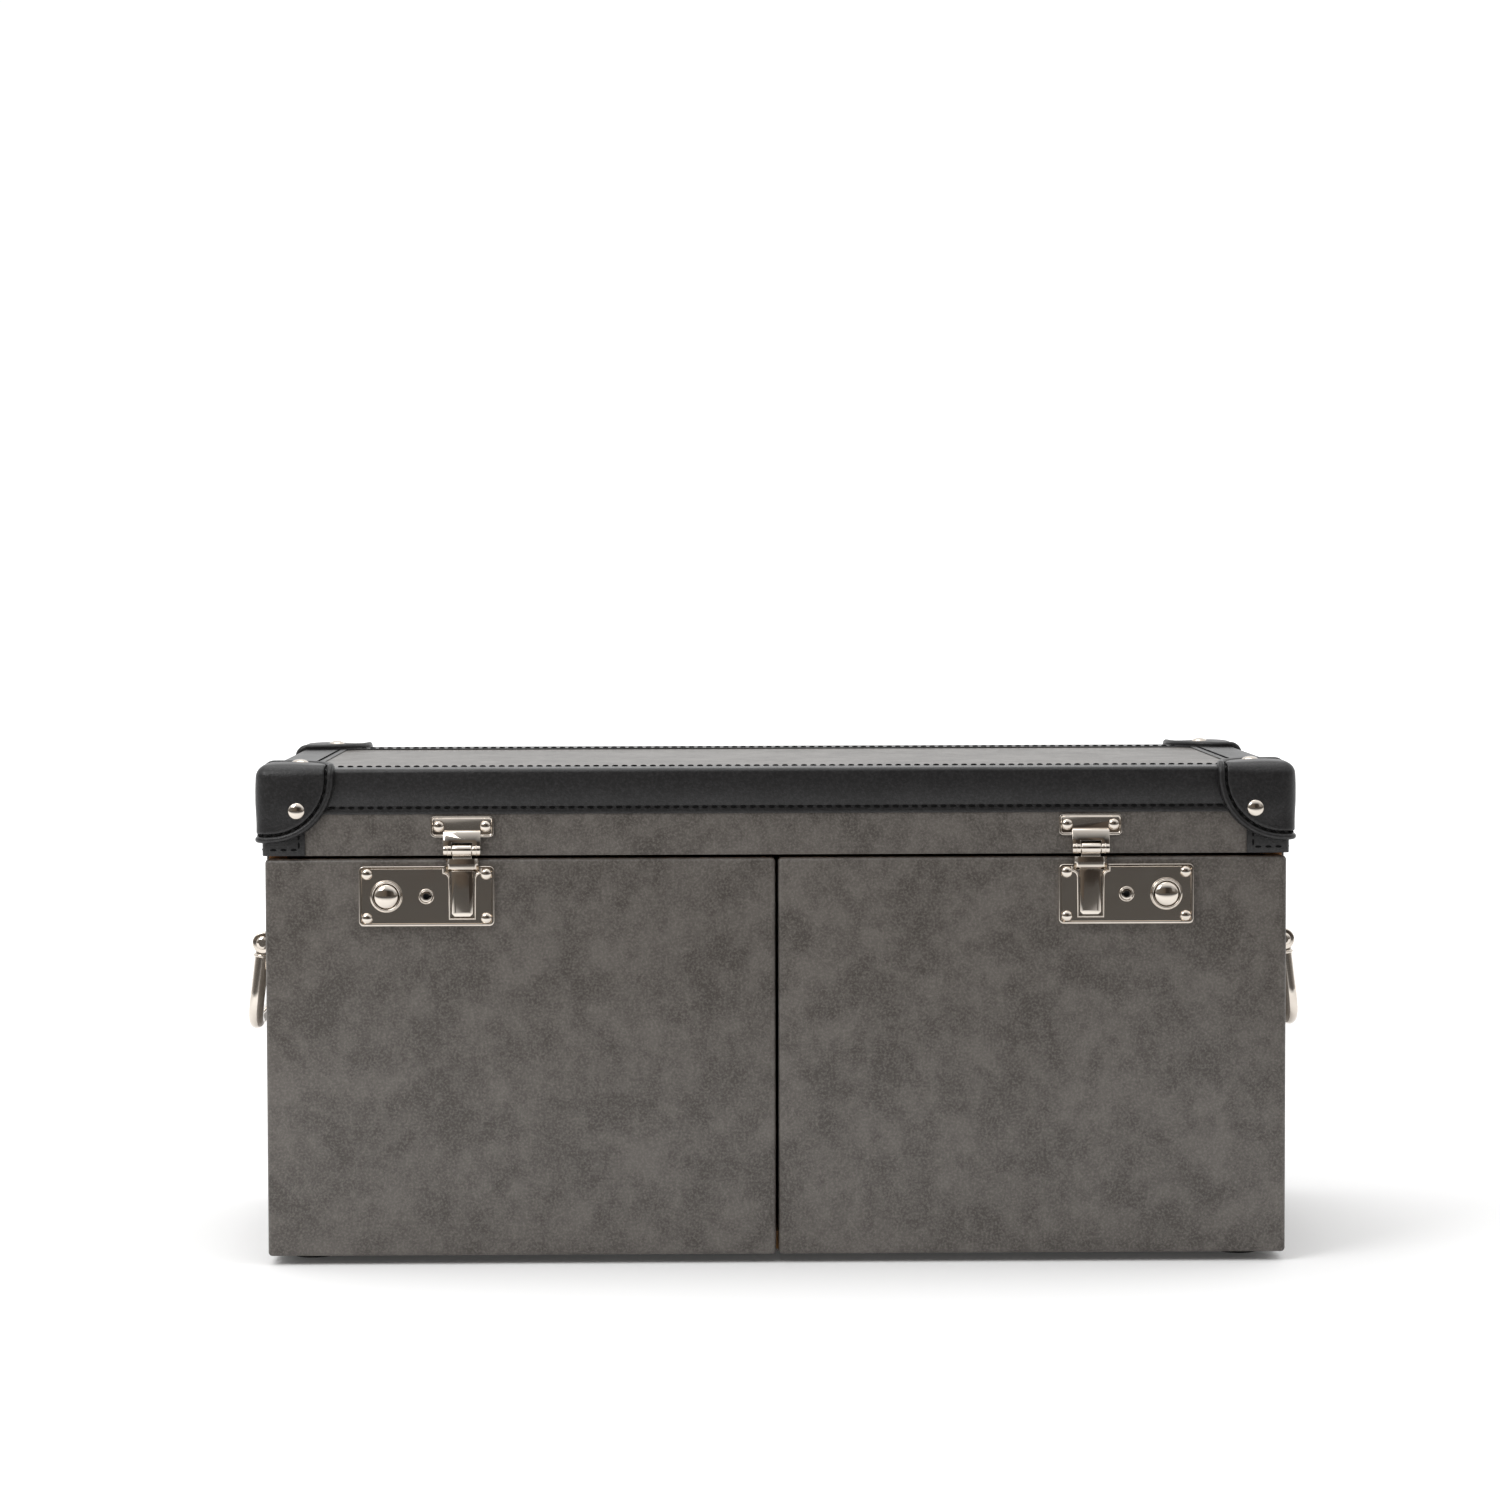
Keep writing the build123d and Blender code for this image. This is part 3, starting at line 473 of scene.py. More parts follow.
    @staticmethod
    def twin(name: str, piece: bpy.types.Object) -> bpy.types.Object:
        """Copy an object to the left half, mirrored in the plane between the doors.

        Args:
            name: name of the copy.
            piece: the object copied.

        Returns:
            The mirrored copy, with its own mesh.
        """
        copy = bpy.data.objects.new(name, piece.data.copy())
        bpy.context.scene.collection.objects.link(copy)
        copy.data.transform(Matrix.Scale(-1, 4, (1, 0, 0)))
        copy.data.flip_normals()
        return copy

    @staticmethod
    def finish(piece: bpy.types.Object, body: str, finish: bpy.types.Material, slot: str,
               stands_for: Sequence[str] = (), angle: float = 38) -> bpy.types.Object:
        """Smooth a piece, dress it and fix it to its body.

        Args:
            piece: the finished mesh.
            body: the CAD body it rides on.
            finish: its material.
            slot: the record's slot that the piece's finish belongs to; not used.
            stands_for: CAD nodes it replaces.
            angle: edges sharper than this stay sharp, in degrees.

        Returns:
            The same piece.
        """
        Bench.activate(piece)
        bpy.ops.object.shade_smooth_by_angle(angle=math.radians(angle))
        piece.data.materials.clear()
        piece.data.materials.append(finish)
        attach(piece, body)
        if stands_for:
            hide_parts(*stands_for)
        LOG.info("piece %s on %s, %d faces", piece.name, body, len(piece.data.polygons))
        return piece


# ------------------------------------------------------------------ finishes


# Sockets of a Mix node that mixes colours, which share their names with its other kinds.
MIX_SHARE, MIX_FIRST, MIX_SECOND, MIX_RESULT = 0, 6, 7, 2


class Recipe:
    """A material being put together from nodes around one Principled shader."""

    def __init__(self, name: str) -> None:
        """Start an empty material.

        Args:
            name: name of the material.
        """
        self.material = bpy.data.materials.new(name)
        self.material.use_nodes = True
        self.nodes = self.material.node_tree.nodes
        self.links = self.material.node_tree.links
        self.nodes.clear()
        self.shader = self.nodes.new("ShaderNodeBsdfPrincipled")
        output = self.nodes.new("ShaderNodeOutputMaterial")
        self.links.new(self.shader.outputs["BSDF"], output.inputs["Surface"])
        self.place = self.nodes.new("ShaderNodeTexCoord").outputs["Object"]

    def feed(self, socket: bpy.types.NodeSocket, value: object) -> None:
        """Link or set an input socket.

        Args:
            socket: the input.
            value: an output to link, or a value to set.
        """
        if isinstance(value, bpy.types.NodeSocket):
            self.links.new(value, socket)
        else:
            socket.default_value = value

    def stretched(self, scale: Sequence[float]) -> bpy.types.NodeSocket:
        """Object coordinates stretched by a scale on each axis.

        Args:
            scale: the scale along X, Y and Z.

        Returns:
            The coordinates.
        """
        mapping = self.nodes.new("ShaderNodeMapping")
        mapping.inputs["Scale"].default_value = scale
        self.links.new(self.place, mapping.inputs["Vector"])
        return mapping.outputs["Vector"]

    def noise(self, scale: float, detail: float = 3, rough: float = 0.5,
              place: bpy.types.NodeSocket | None = None) -> bpy.types.NodeSocket:
        """Soft noise.

        Args:
            scale: patches to a metre.
            detail: layers of finer noise.
            rough: strength of the finer layers.
            place: coordinates, or the object's own.

        Returns:
            The noise, 0 to 1.
        """
        node = self.nodes.new("ShaderNodeTexNoise")
        node.inputs["Scale"].default_value = scale
        node.inputs["Detail"].default_value = detail
        node.inputs["Roughness"].default_value = rough
        self.links.new(place or self.place, node.inputs["Vector"])
        return node.outputs["Fac"]

    def cells(self, scale: float) -> bpy.types.NodeSocket:
        """Rounded cells side by side, as leather pebbles are.

        Args:
            scale: cells to a metre.

        Returns:
            The distance from the middle of each cell.
        """
        node = self.nodes.new("ShaderNodeTexVoronoi")
        node.feature = "SMOOTH_F1"
        node.inputs["Scale"].default_value = scale
        self.links.new(self.place, node.inputs["Vector"])
        return node.outputs["Distance"]

    def waves(self, scale: float, axis: str, bend: float = 0.0) -> bpy.types.NodeSocket:
        """Parallel bands across an axis.

        Args:
            scale: bands to a metre, over a fixed factor.
            axis: X, Y or Z.
            bend: how much the bands wander.

        Returns:
            The bands, 0 to 1.
        """
        node = self.nodes.new("ShaderNodeTexWave")
        node.bands_direction = axis
        node.inputs["Scale"].default_value = scale
        node.inputs["Distortion"].default_value = bend
        self.links.new(self.place, node.inputs["Vector"])
        return node.outputs["Fac"]

    def ramp(self, source: bpy.types.NodeSocket, low: float, high: float,
             first: Colour, last: Colour) -> bpy.types.NodeSocket:
        """Blend two colours between two values of a source.

        Args:
            source: the value read.
            low: the value that gives the first colour.
            high: the value that gives the last colour.
            first: the first colour.
            last: the last colour.

        Returns:
            The colour.
        """
        node = self.nodes.new("ShaderNodeValToRGB")
        for stop, where, colour in zip(node.color_ramp.elements, (low, high), (first, last)):
            stop.position = where
            stop.color = (*colour, 1)
        self.links.new(source, node.inputs["Fac"])
        return node.outputs["Color"]

    def math(self, operation: str, a: object, b: object) -> bpy.types.NodeSocket:
        """One arithmetic step.

        Args:
            operation: what is done.
            a: first number or socket.
            b: second number or socket.

        Returns:
            The result.
        """
        node = self.nodes.new("ShaderNodeMath")
        node.operation = operation
        self.feed(node.inputs[0], a)
        self.feed(node.inputs[1], b)
        return node.outputs[0]

    def mix(self, share: bpy.types.NodeSocket, a: bpy.types.NodeSocket,
            b: Colour) -> bpy.types.NodeSocket:
        """Mix a second colour into a first.

        Args:
            share: how much of the second.
            a: first colour.
            b: second colour.

        Returns:
            The mixed colour.
        """
        node = self.nodes.new("ShaderNodeMix")
        node.data_type = "RGBA"
        self.feed(node.inputs[MIX_SHARE], share)
        self.feed(node.inputs[MIX_FIRST], a)
        self.feed(node.inputs[MIX_SECOND], (*b, 1))
        return node.outputs[MIX_RESULT]

    def bump(self, height: bpy.types.NodeSocket, strength: float, depth: float,
             under: bpy.types.NodeSocket | None = None) -> bpy.types.NodeSocket:
        """Raise the surface by a height pattern.

        Args:
            height: the pattern.
            strength: share of the effect.
            depth: height of the pattern in metres.
            under: another bump below this one.

        Returns:
            The normal.
        """
        node = self.nodes.new("ShaderNodeBump")
        node.inputs["Strength"].default_value = strength
        node.inputs["Distance"].default_value = depth
        self.links.new(height, node.inputs["Height"])
        if under is not None:
            self.links.new(under, node.inputs["Normal"])
        return node.outputs["Normal"]

    def done(self, **inputs: object) -> bpy.types.Material:
        """Feed the shader and return the material.

        Args:
            **inputs: the shader's inputs, with underscores for spaces.

        Returns:
            The material.
        """
        for key, value in inputs.items():
            socket = self.shader.inputs[key.replace("_", " ")]
            if isinstance(value, tuple) and len(value) == 3 and socket.type == "RGBA":
                value = (*value, 1)
            self.feed(socket, value)
        return self.material


@dataclass(frozen=True)
class Hide:
    """Leather: a mottled colour over a fine pebbled grain, with pale specks that are partly painted glints.
    """

    name: str
    dark: Colour
    light: Colour
    # Colour of the pale specks in the grain: partly the leather's own tone, partly painted highlights on its
    # pebbles.
    speck_and_glint: Colour
    speck_and_glint_share: float
    patch: float
    pebble: float
    pebble_depth: float
    rough: float
    shine: float
    coat: float
    coat_rough: float = 0.28
    streak_scale: float = 2.7
    streak_share: float = 0.5
    cloud_range: tuple[float, float] = (0.41, 0.60)
    speck_and_glint_range: tuple[float, float] = (0.44, 0.66)
    swell_depth: float = 0.6 * MM
    matt: float = 0.07
    worn: float = 0.05

    def build(self) -> bpy.types.Material:
        """Make the leather's material.

        Returns:
            The material.
        """
        recipe = Recipe(self.name)
        patches = recipe.noise(self.patch, detail=4, rough=0.55)
        streaks = recipe.noise(self.patch * self.streak_scale, detail=4, rough=0.62,
                               place=recipe.stretched((1.0, 1.0, 0.8)))
        cloud = recipe.math("ADD", recipe.math("MULTIPLY", patches, 1 - self.streak_share),
                            recipe.math("MULTIPLY", streaks, self.streak_share))
        base = recipe.ramp(cloud, *self.cloud_range, self.dark, self.light)
        fine = recipe.noise(self.pebble * 0.5, detail=3, rough=0.7)
        specks_and_glints = recipe.ramp(fine, *self.speck_and_glint_range, (0, 0, 0), (1, 1, 1))
        share = recipe.math("MULTIPLY", specks_and_glints, self.speck_and_glint_share)
        # Pale specks mixed into the colour: partly the grain's own tone, partly painted glints.
        colour = recipe.mix(share, base, self.speck_and_glint)
        pebbles = recipe.cells(self.pebble)
        creases = recipe.noise(self.pebble * 0.3, detail=5, rough=0.6)
        swells = recipe.noise(self.patch * 1.4, detail=2)
        low = recipe.bump(swells, strength=0.2, depth=self.swell_depth)
        grain = recipe.bump(creases, strength=0.5, depth=self.pebble_depth, under=low)
        skin = recipe.bump(pebbles, strength=0.6, depth=self.pebble_depth, under=grain)
        polish = recipe.ramp(cloud, 0.3, 0.7, (self.rough + self.matt,) * 3, (self.rough - self.worn,) * 3)
        return recipe.done(Base_Color=colour, Roughness=polish, Normal=skin, Specular_IOR_Level=self.shine,
                           Coat_Weight=self.coat, Coat_Roughness=self.coat_rough)


@dataclass(frozen=True)
class Plate:
    """Plated metal with faint smears and hairline scratches."""

    name: str
    colour: Colour
    tarnish: Colour
    rough: float
    smear: float
    smears: float = 60
    pits: float = 900
    hairlines: float = 700
    pit_depth: float = 0.04 * MM
    hairline_depth: float = 0.05 * MM

    def build(self) -> bpy.types.Material:
        """Make the metal's material.

        Returns:
            The material.
        """
        recipe = Recipe(self.name)
        smears = recipe.noise(self.smears, detail=4, rough=0.6, place=recipe.stretched((1.0, 1.0, 1.6)))
        pits = recipe.noise(self.pits, detail=2)
        colour = recipe.ramp(smears, 0.35, 0.8, self.colour, self.tarnish)
        polish = recipe.ramp(smears, 0.3, 0.75, (self.rough,) * 3, (self.rough + self.smear,) * 3)
        hairlines = recipe.noise(self.hairlines, detail=2, rough=0.6,
                                 place=recipe.stretched((0.12, 1.0, 1.0)))
        pitted = recipe.bump(pits, strength=0.03, depth=self.pit_depth)
        normal = recipe.bump(hairlines, strength=0.04, depth=self.hairline_depth, under=pitted)
        return recipe.done(Base_Color=colour, Metallic=1.0, Roughness=polish, Normal=normal)


@dataclass(frozen=True)
class Plywood:
    """Plain board with long grain and thin plies."""

    name: str
    dark: Colour
    light: Colour
    grain: float = 45
    plies: float = 110
    ply_share: float = 0.18
    rough: float = 0.62
    grain_depth: float = 0.2 * MM

    def build(self) -> bpy.types.Material:
        """Make the board's material.

        Returns:
            The material.
        """
        recipe = Recipe(self.name)
        grain = recipe.noise(self.grain, detail=6, rough=0.65, place=recipe.stretched((0.12, 1.0, 1.0)))
        plies = recipe.waves(self.plies, "Z", bend=0.6)
        wood = recipe.ramp(grain, 0.3, 0.7, self.dark, self.light)
        colour = recipe.mix(recipe.math("MULTIPLY", plies, self.ply_share), wood, self.dark)
        return recipe.done(Base_Color=colour, Roughness=self.rough,
                           Normal=recipe.bump(grain, strength=0.3, depth=self.grain_depth))


@dataclass(frozen=True)
class Cloth:
    """Plain woven lining."""

    name: str
    dark: Colour
    light: Colour
    thread: float
    slack: float = 0.4
    wear: float = 30
    rough: float = 0.85
    sheen: float = 0.25
    thread_depth: float = 0.15 * MM

    def build(self) -> bpy.types.Material:
        """Make the lining's material.

        Returns:
            The material.
        """
        recipe = Recipe(self.name)
        warp, depth, weft = (recipe.waves(self.thread, axis, self.slack) for axis in "XYZ")
        weave = recipe.math("MULTIPLY", recipe.math("ADD", recipe.math("ADD", warp, weft), depth), 0.33)
        wear = recipe.noise(self.wear, detail=4, rough=0.6)
        shade = recipe.math("ADD", recipe.math("MULTIPLY", weave, 0.5), recipe.math("MULTIPLY", wear, 0.5))
        colour = recipe.ramp(shade, 0.25, 0.75, self.dark, self.light)
        return recipe.done(Base_Color=colour, Roughness=self.rough, Sheen_Weight=self.sheen,
                           Normal=recipe.bump(weave, strength=0.4, depth=self.thread_depth))


@dataclass(frozen=True)
class Moulded:
    """Moulded or spun matter with a fine tooth: rubber feet and sewing thread."""

    name: str
    dark: Colour
    light: Colour
    tooth: float
    rough: float
    shine: float = 0.5
    tooth_depth: float = 0.1 * MM

    def build(self) -> bpy.types.Material:
        """Make the material.

        Returns:
            The material.
        """
        recipe = Recipe(self.name)
        speckle = recipe.noise(self.tooth, detail=3, rough=0.6)
        colour = recipe.ramp(speckle, 0.3, 0.7, self.dark, self.light)
        return recipe.done(Base_Color=colour, Roughness=self.rough, Specular_IOR_Level=self.shine,
                           Normal=recipe.bump(speckle, strength=0.3, depth=self.tooth_depth))


class Finishes:
    """Every material of the footlocker, made once."""

    def __init__(self) -> None:
        """Build each finish."""
        # The pale speck colours of both leathers are partly painted grain highlights.
        self.grey = Hide(
            "grey_leather", dark=(0.055, 0.047, 0.040), light=(0.112, 0.100, 0.089), speck_and_glint=(0.22, 0.20, 0.18),
            speck_and_glint_share=0.44, patch=42, pebble=1500, pebble_depth=0.2 * MM, rough=0.54, shine=0.4, coat=0.45,
        ).build()
        self.black = Hide(
            "black_leather", dark=(0.004, 0.0038, 0.004), light=(0.009, 0.0086, 0.009),
            speck_and_glint=(0.06, 0.058, 0.060), speck_and_glint_share=0.24, patch=26, pebble=1300, pebble_depth=0.25 * MM,
            rough=0.44, shine=0.35, coat=0.3,
        ).build()
        self.thread = Moulded("waxed_thread", dark=(0.002, 0.002, 0.002), light=(0.006, 0.006, 0.006),
                              tooth=2500, rough=0.8, shine=0.1).build()
        self.nickel = Plate("polished_nickel", colour=(0.74, 0.68, 0.61), tarnish=(0.64, 0.57, 0.50),
                            rough=0.06, smear=0.07).build()
        self.steel = Plate("zinc_steel", colour=(0.56, 0.55, 0.53), tarnish=(0.42, 0.41, 0.40),
                           rough=0.30, smear=0.15).build()
        self.board = Plywood("plywood", dark=(0.42, 0.29, 0.17), light=(0.62, 0.48, 0.32)).build()
        self.lining = Cloth("tan_lining", dark=(0.30, 0.14, 0.055), light=(0.46, 0.24, 0.10),
                            thread=420).build()
        self.rubber = Moulded("foot_rubber", dark=(0.02, 0.02, 0.02), light=(0.05, 0.05, 0.05),
                              tooth=900, rough=0.7).build()

    def for_slot(self, slot: str) -> bpy.types.Material:
        """The material that a record slot shows with.

        Args:
            slot: the slot's name in the record.

        Returns:
            Its material.
        """
        return {
            "board": self.board,
            "grey_leather": self.grey,
            "tan_lining": self.lining,
            "black_leather": self.black,
            "foot_rubber": self.rubber,
            "hinge_steel": self.steel,
            "polished_nickel": self.nickel,
        }[slot]


# ------------------------------------------------------------------ stitches and rivets


@dataclass
class Sewing:
    """Lines of thread stitches, gathered and made as one piece."""

    name: str
    length: float = 3.5 * MM
    pitch: float = 5.2 * MM
    thick: float = 1.15 * MM
    lift: float = 0.18
    places: list[Matrix] = field(default_factory=list)

    def stitch(self, at: Vector, run: Vector, out: Vector) -> None:
        """Add one stitch.

        Args:
            at: its middle, on the leather's surface.
            run: direction of the seam.
            out: direction out of the leather.
        """
        x = run.normalized()
        z = (out - x * out.dot(x)).normalized()
        turn = Matrix((x, z.cross(x), z)).transposed().to_4x4()
        size = Matrix.Diagonal((self.length / 2, self.thick / 2, self.thick / 2, 1))
        self.places.append(Matrix.Translation(at + z * self.thick * self.lift) @ turn @ size)

    def line(self, start: Vector, end: Vector, out: Vector) -> None:
        """Add a straight seam.

        Args:
            start: where it starts.
            end: where it ends.
            out: direction out of the leather.
        """
        run = end - start
        count = max(1, round(run.length / self.pitch))
        for k in range(count):
            self.stitch(start + run * ((k + 0.5) / count), run, out)

    def path(self, points: Sequence[Vector], outs: Sequence[Vector]) -> None:
        """Add a seam along a bent line.

        Args:
            points: points of the line.
            outs: direction out of the leather at each point.
        """
        gone, due = 0.0, self.pitch / 2
        for a, b, out in zip(points, points[1:], outs):
            step = (b - a).length
            while due <= gone + step:
                self.stitch(a + (b - a) * ((due - gone) / step), b - a, out)
                due += self.pitch
            gone += step

    def sew(self, body: str, finish: bpy.types.Material) -> bpy.types.Object:
        """Make the stitches as one piece.

        Args:
            body: the CAD body they ride on.
            finish: the thread's material.

        Returns:
            The piece.
        """
        Bench.clear()
        bpy.ops.mesh.primitive_uv_sphere_add(segments=8, ring_count=6, radius=1, rotation=(0, math.pi / 2, 0))
        pattern = Bench.named("one_stitch")
        piece = Bench.copies(self.name, pattern, self.places)
        return Bench.finish(piece, body, finish, "black_leather", angle=80)


@dataclass(frozen=True)
class Domes:
    """Domed heads that stand where the solids of a CAD node stand."""

    node: str
    body: str
    flange: float = 1.06
    step: float = 0.04
    skirt: float = 0.16

    def head(self) -> bpy.types.Object:
        """Model one head of unit radius and unit height, with a thin flange at its foot.

        Returns:
            The head, standing on the origin along Z.
        """
        dome = Bench.ball("dome", Vector((0, 0, 0)), (1, 1, 1))
        with Bench.editing(dome):
            bpy.ops.mesh.select_all(action="SELECT")
            bpy.ops.mesh.bisect(plane_co=(0, 0, 0), plane_no=(0, 0, 1), clear_inner=True)
            bpy.ops.mesh.select_all(action="DESELECT")
            Bench.pick(dome, Element.EDGE, lambda middle, run: middle.z < 1e-4)
            bpy.ops.mesh.extrude_region_move(TRANSFORM_OT_translate={"value": (0, 0, self.step)})
            bpy.ops.transform.resize(value=(self.flange, self.flange, 1))
            bpy.ops.mesh.extrude_region_move(TRANSFORM_OT_translate={"value": (0, 0, -self.skirt)})
            bpy.ops.mesh.edge_face_add()
            bpy.ops.mesh.select_all(action="SELECT")
            bpy.ops.mesh.normals_make_consistent(inside=False)
        return dome

    def build(self, finish: bpy.types.Material) -> bpy.types.Object:
        """Make the heads.

        Args:
            finish: their material.

        Returns:
            The piece, which stands for the CAD node.
        """
        middle = Extent(*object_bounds()).centre
        places = []
        for head in islands(self.node):
            thin = min(range(3), key=lambda k: head.size[k])
            away = 1.0 if head.centre[thin] > middle[thin] else -1.0
            axis = Vector([away if k == thin else 0.0 for k in range(3)])
            foot = head.centre - axis * head.size[thin] / 2
            radius = max(head.size) / 2
            turn = axis.to_track_quat("Z", "Y").to_matrix().to_4x4()
            size = Matrix.Diagonal((radius, radius, head.size[thin], 1))
            places.append(Matrix.Translation(foot) @ turn @ size)
        piece = Bench.copies(self.node + "_domed", self.head(), places)
        return Bench.finish(piece, self.body, finish, "polished_nickel", [self.node])


# ------------------------------------------------------------------ leather


@dataclass
class Panel:
    """A leather skin wrapped over boards, hollow behind, with soft outer edges."""

    node: str
    body: str
    wall: float = 1.2 * MM
    soft: float = 2.2 * MM
    open_sides: tuple[tuple[int, int], ...] = ()
    reliefs: list[Extent] = field(default_factory=list)
    barrels: list[Extent] = field(default_factory=list)
    soft_axis: int | None = None
    ports: list[tuple[Extent, float]] = field(default_factory=list)
    barrel_room: float = 2.3 * MM
    port_depth: float = 8 * MM

    def build(self, finish: bpy.types.Material) -> bpy.types.Object:
        """Model the skin.

        Args:
            finish: its leather.

        Returns:
            The piece, which stands for the CAD node.
        """
        shell = extent(self.node)
        skin = Bench.block(self.node + "_hide", shell.lo, shell.hi)
        Bench.round_edges(skin, self.soft, 5, self._is_soft)
        lo, hi = shell.lo + Vector((self.wall,) * 3), shell.hi - Vector((self.wall,) * 3)
        for axis, sign in self.open_sides:
            (hi if sign > 0 else lo)[axis] += sign * 3 * self.wall
        Bench.carve(skin, Bench.block("hollow", lo, hi))
        for relief in self.reliefs:
            Bench.carve(skin, Bench.block("relief", relief.lo, relief.hi))
        for barrel in self.barrels:
            room = Bench.drum("room", barrel.centre, UP, self.barrel_room, barrel.size.z, sides=24)
            Bench.carve(skin, room)
        for through, radius in self.ports:
            at = Vector((through.centre.x, shell.lo.y, through.centre.z))
            Bench.carve(skin, Bench.drum("port", at, (0, 1, 0), radius, self.port_depth, sides=40))
        return Bench.finish(skin, self.body, finish, "grey_leather", [self.node])

    def _is_soft(self, middle: Vector, run: Vector) -> bool:
        """Whether an edge of the skin is softened.

        Args:
            middle: the edge's middle.
            run: the edge's direction.

        Returns:
            True for an edge to soften.
        """
        shell = extent(self.node)
        for axis, sign in self.open_sides:
            face = shell.hi[axis] if sign > 0 else shell.lo[axis]
            if abs(middle[axis] - face) < TOUCH:
                return False
        return self.soft_axis is None or abs(run[self.soft_axis]) > 0.5


@dataclass
class LidTrim:
    """Black leather on the lid: the folded edge band, the corner strips and the moulded caps."""

    finishes: Finishes
    band_top: float = 25 * MM
    stitch_in: float = 3.6 * MM
    cap_reach: float = 36.2 * MM
    cap_set: float = 7 * MM
    cap_round: float = 6.5 * MM
    roll: float = 1.75 * MM
    groove: float = 4.6 * MM
    pad_grid: float = 0.8 * MM
    swell: float = 1.0 * MM
    pad_reach: float = 17 * MM
    pad_top: float = 2.5 * MM
    layer_sunk: float = 1.7 * MM
    layer_edge: float = 1.3 * MM
    roll_sunk: float = 1.0 * MM
    seam_sunk: float = 1.2 * MM
    seam_off: float = 0.5 * MM
    fold_round: float = 2.4 * MM
    lid_round: float = 1.5 * MM
    strip_core_round: float = 1.2 * MM
    raw_edge: float = 0.3 * MM
    strip_edge: float = 0.35 * MM
    channel_half: float = 0.75 * MM
    channel_deep: float = 0.3 * MM
    seam_end: float = 24 * MM
    strip_seam_in: float = 3.3 * MM
    flat_steps: int = 12
    turn_steps: int = 6

    def __post_init__(self) -> None:
        """Read the lid's extents and start the stitching."""
        self.lid = extent("lid_leather")
        self.band = extent("edge_band")
        self.strips = extent("corner_strips")
        self.thread = Sewing("lid_stitching")

    def build(self) -> None:
        """Model all of the lid's trim."""
        self.edge_band()
        self.corner_strips()
        self.seams()
        for sx in (-1, 1):
            for sy in (-1, 1):
                self.cap(sx, sy)
        self.thread.sew("lid", self.finishes.thread)

    def edge_band(self) -> bpy.types.Object:
        """Model the band that folds over the lid's top edges.

        Returns:
            The band.
        """
        band = Bench.block("edge_band_folded", self.band.lo, self.band.hi)
        low = self.band.lo.z
        Bench.round_edges(band, self.fold_round, 5, lambda m, run: m.z > low + MM)
        core_lo = Vector((self.lid.lo.x, self.lid.lo.y, low - MM))
        core = Bench.block("core", core_lo, self.lid.hi)
        Bench.round_edges(core, self.lid_round, 3, lambda m, run: m.z > low)
        Bench.carve(band, core)
        inset = Vector((self.band_top, self.band_top, 0))
        window_lo = Vector((self.lid.lo.x, self.lid.lo.y, self.lid.hi.z - 2 * MM)) + inset
        window_hi = Vector((self.lid.hi.x, self.lid.hi.y, self.band.hi.z + 2 * MM)) - inset
        Bench.carve(band, Bench.block("window", window_lo, window_hi))
        Bench.ease(band, self.raw_edge, 2, 60)
        self._sink_seam(band, low + self.stitch_in)
        return Bench.finish(band, "lid", self.finishes.black, "black_leather", ["edge_band"])

    def _sink_seam(self, band: bpy.types.Object, z: float) -> None:
        """Press a shallow channel into the band's four faces, where its lower seam runs.

        Args:
            band: the band.
            z: height of the seam.
        """
        half, deep = self.channel_half, self.channel_deep
        lo, hi = self.band.lo, self.band.hi
        tools = []
        for sign in (-1, 1):
            y = lo.y if sign < 0 else hi.y
            x = lo.x if sign < 0 else hi.x
            tools.append(Bench.block("channel", (lo.x, y - deep, z - half), (hi.x, y + deep, z + half)))
            tools.append(Bench.block("channel", (x - deep, lo.y, z - half), (x + deep, hi.y, z + half)))
        for tool in tools:
            Bench.carve(band, tool)
        Bench.ease(band, self.raw_edge, 2, 60)

    def corner_strips(self) -> bpy.types.Object:
        """Model the four upright strips that wrap the lid's corners under the band.

        Returns:
            The strips, as one piece.
        """
        parts = []
        for index, strip in enumerate(islands("corner_strips")):
            wrap = Bench.block(f"strip_{index}", strip.lo, strip.hi)
            Bench.round_edges(wrap, self.fold_round, 5,
                              lambda m, run: self._at_corner(m) and abs(run.z) > 0.5)
            parts.append(wrap)
        core = Bench.block("core", self.lid.lo - Vector((0, 0, MM)), self.lid.hi)
        Bench.round_edges(core, self.strip_core_round, 3, lambda m, run: abs(run.z) > 0.5)
        strips = Bench.join("corner_strips_sewn", parts)
        Bench.carve(strips, core)
        Bench.ease(strips, self.strip_edge, 2, 60)
        return Bench.finish(strips, "lid", self.finishes.black, "black_leather", ["corner_strips"])

    def _at_corner(self, middle: Vector) -> bool:
        """Whether a point lies on an outer upright corner of the strips.

        Args:
            middle: the point.

        Returns:
            True on a corner.
        """
        wide = min(abs(middle.x - self.strips.lo.x), abs(middle.x - self.strips.hi.x))
        deep = min(abs(middle.y - self.strips.lo.y), abs(middle.y - self.strips.hi.y))
        return wide < TOUCH and deep < TOUCH

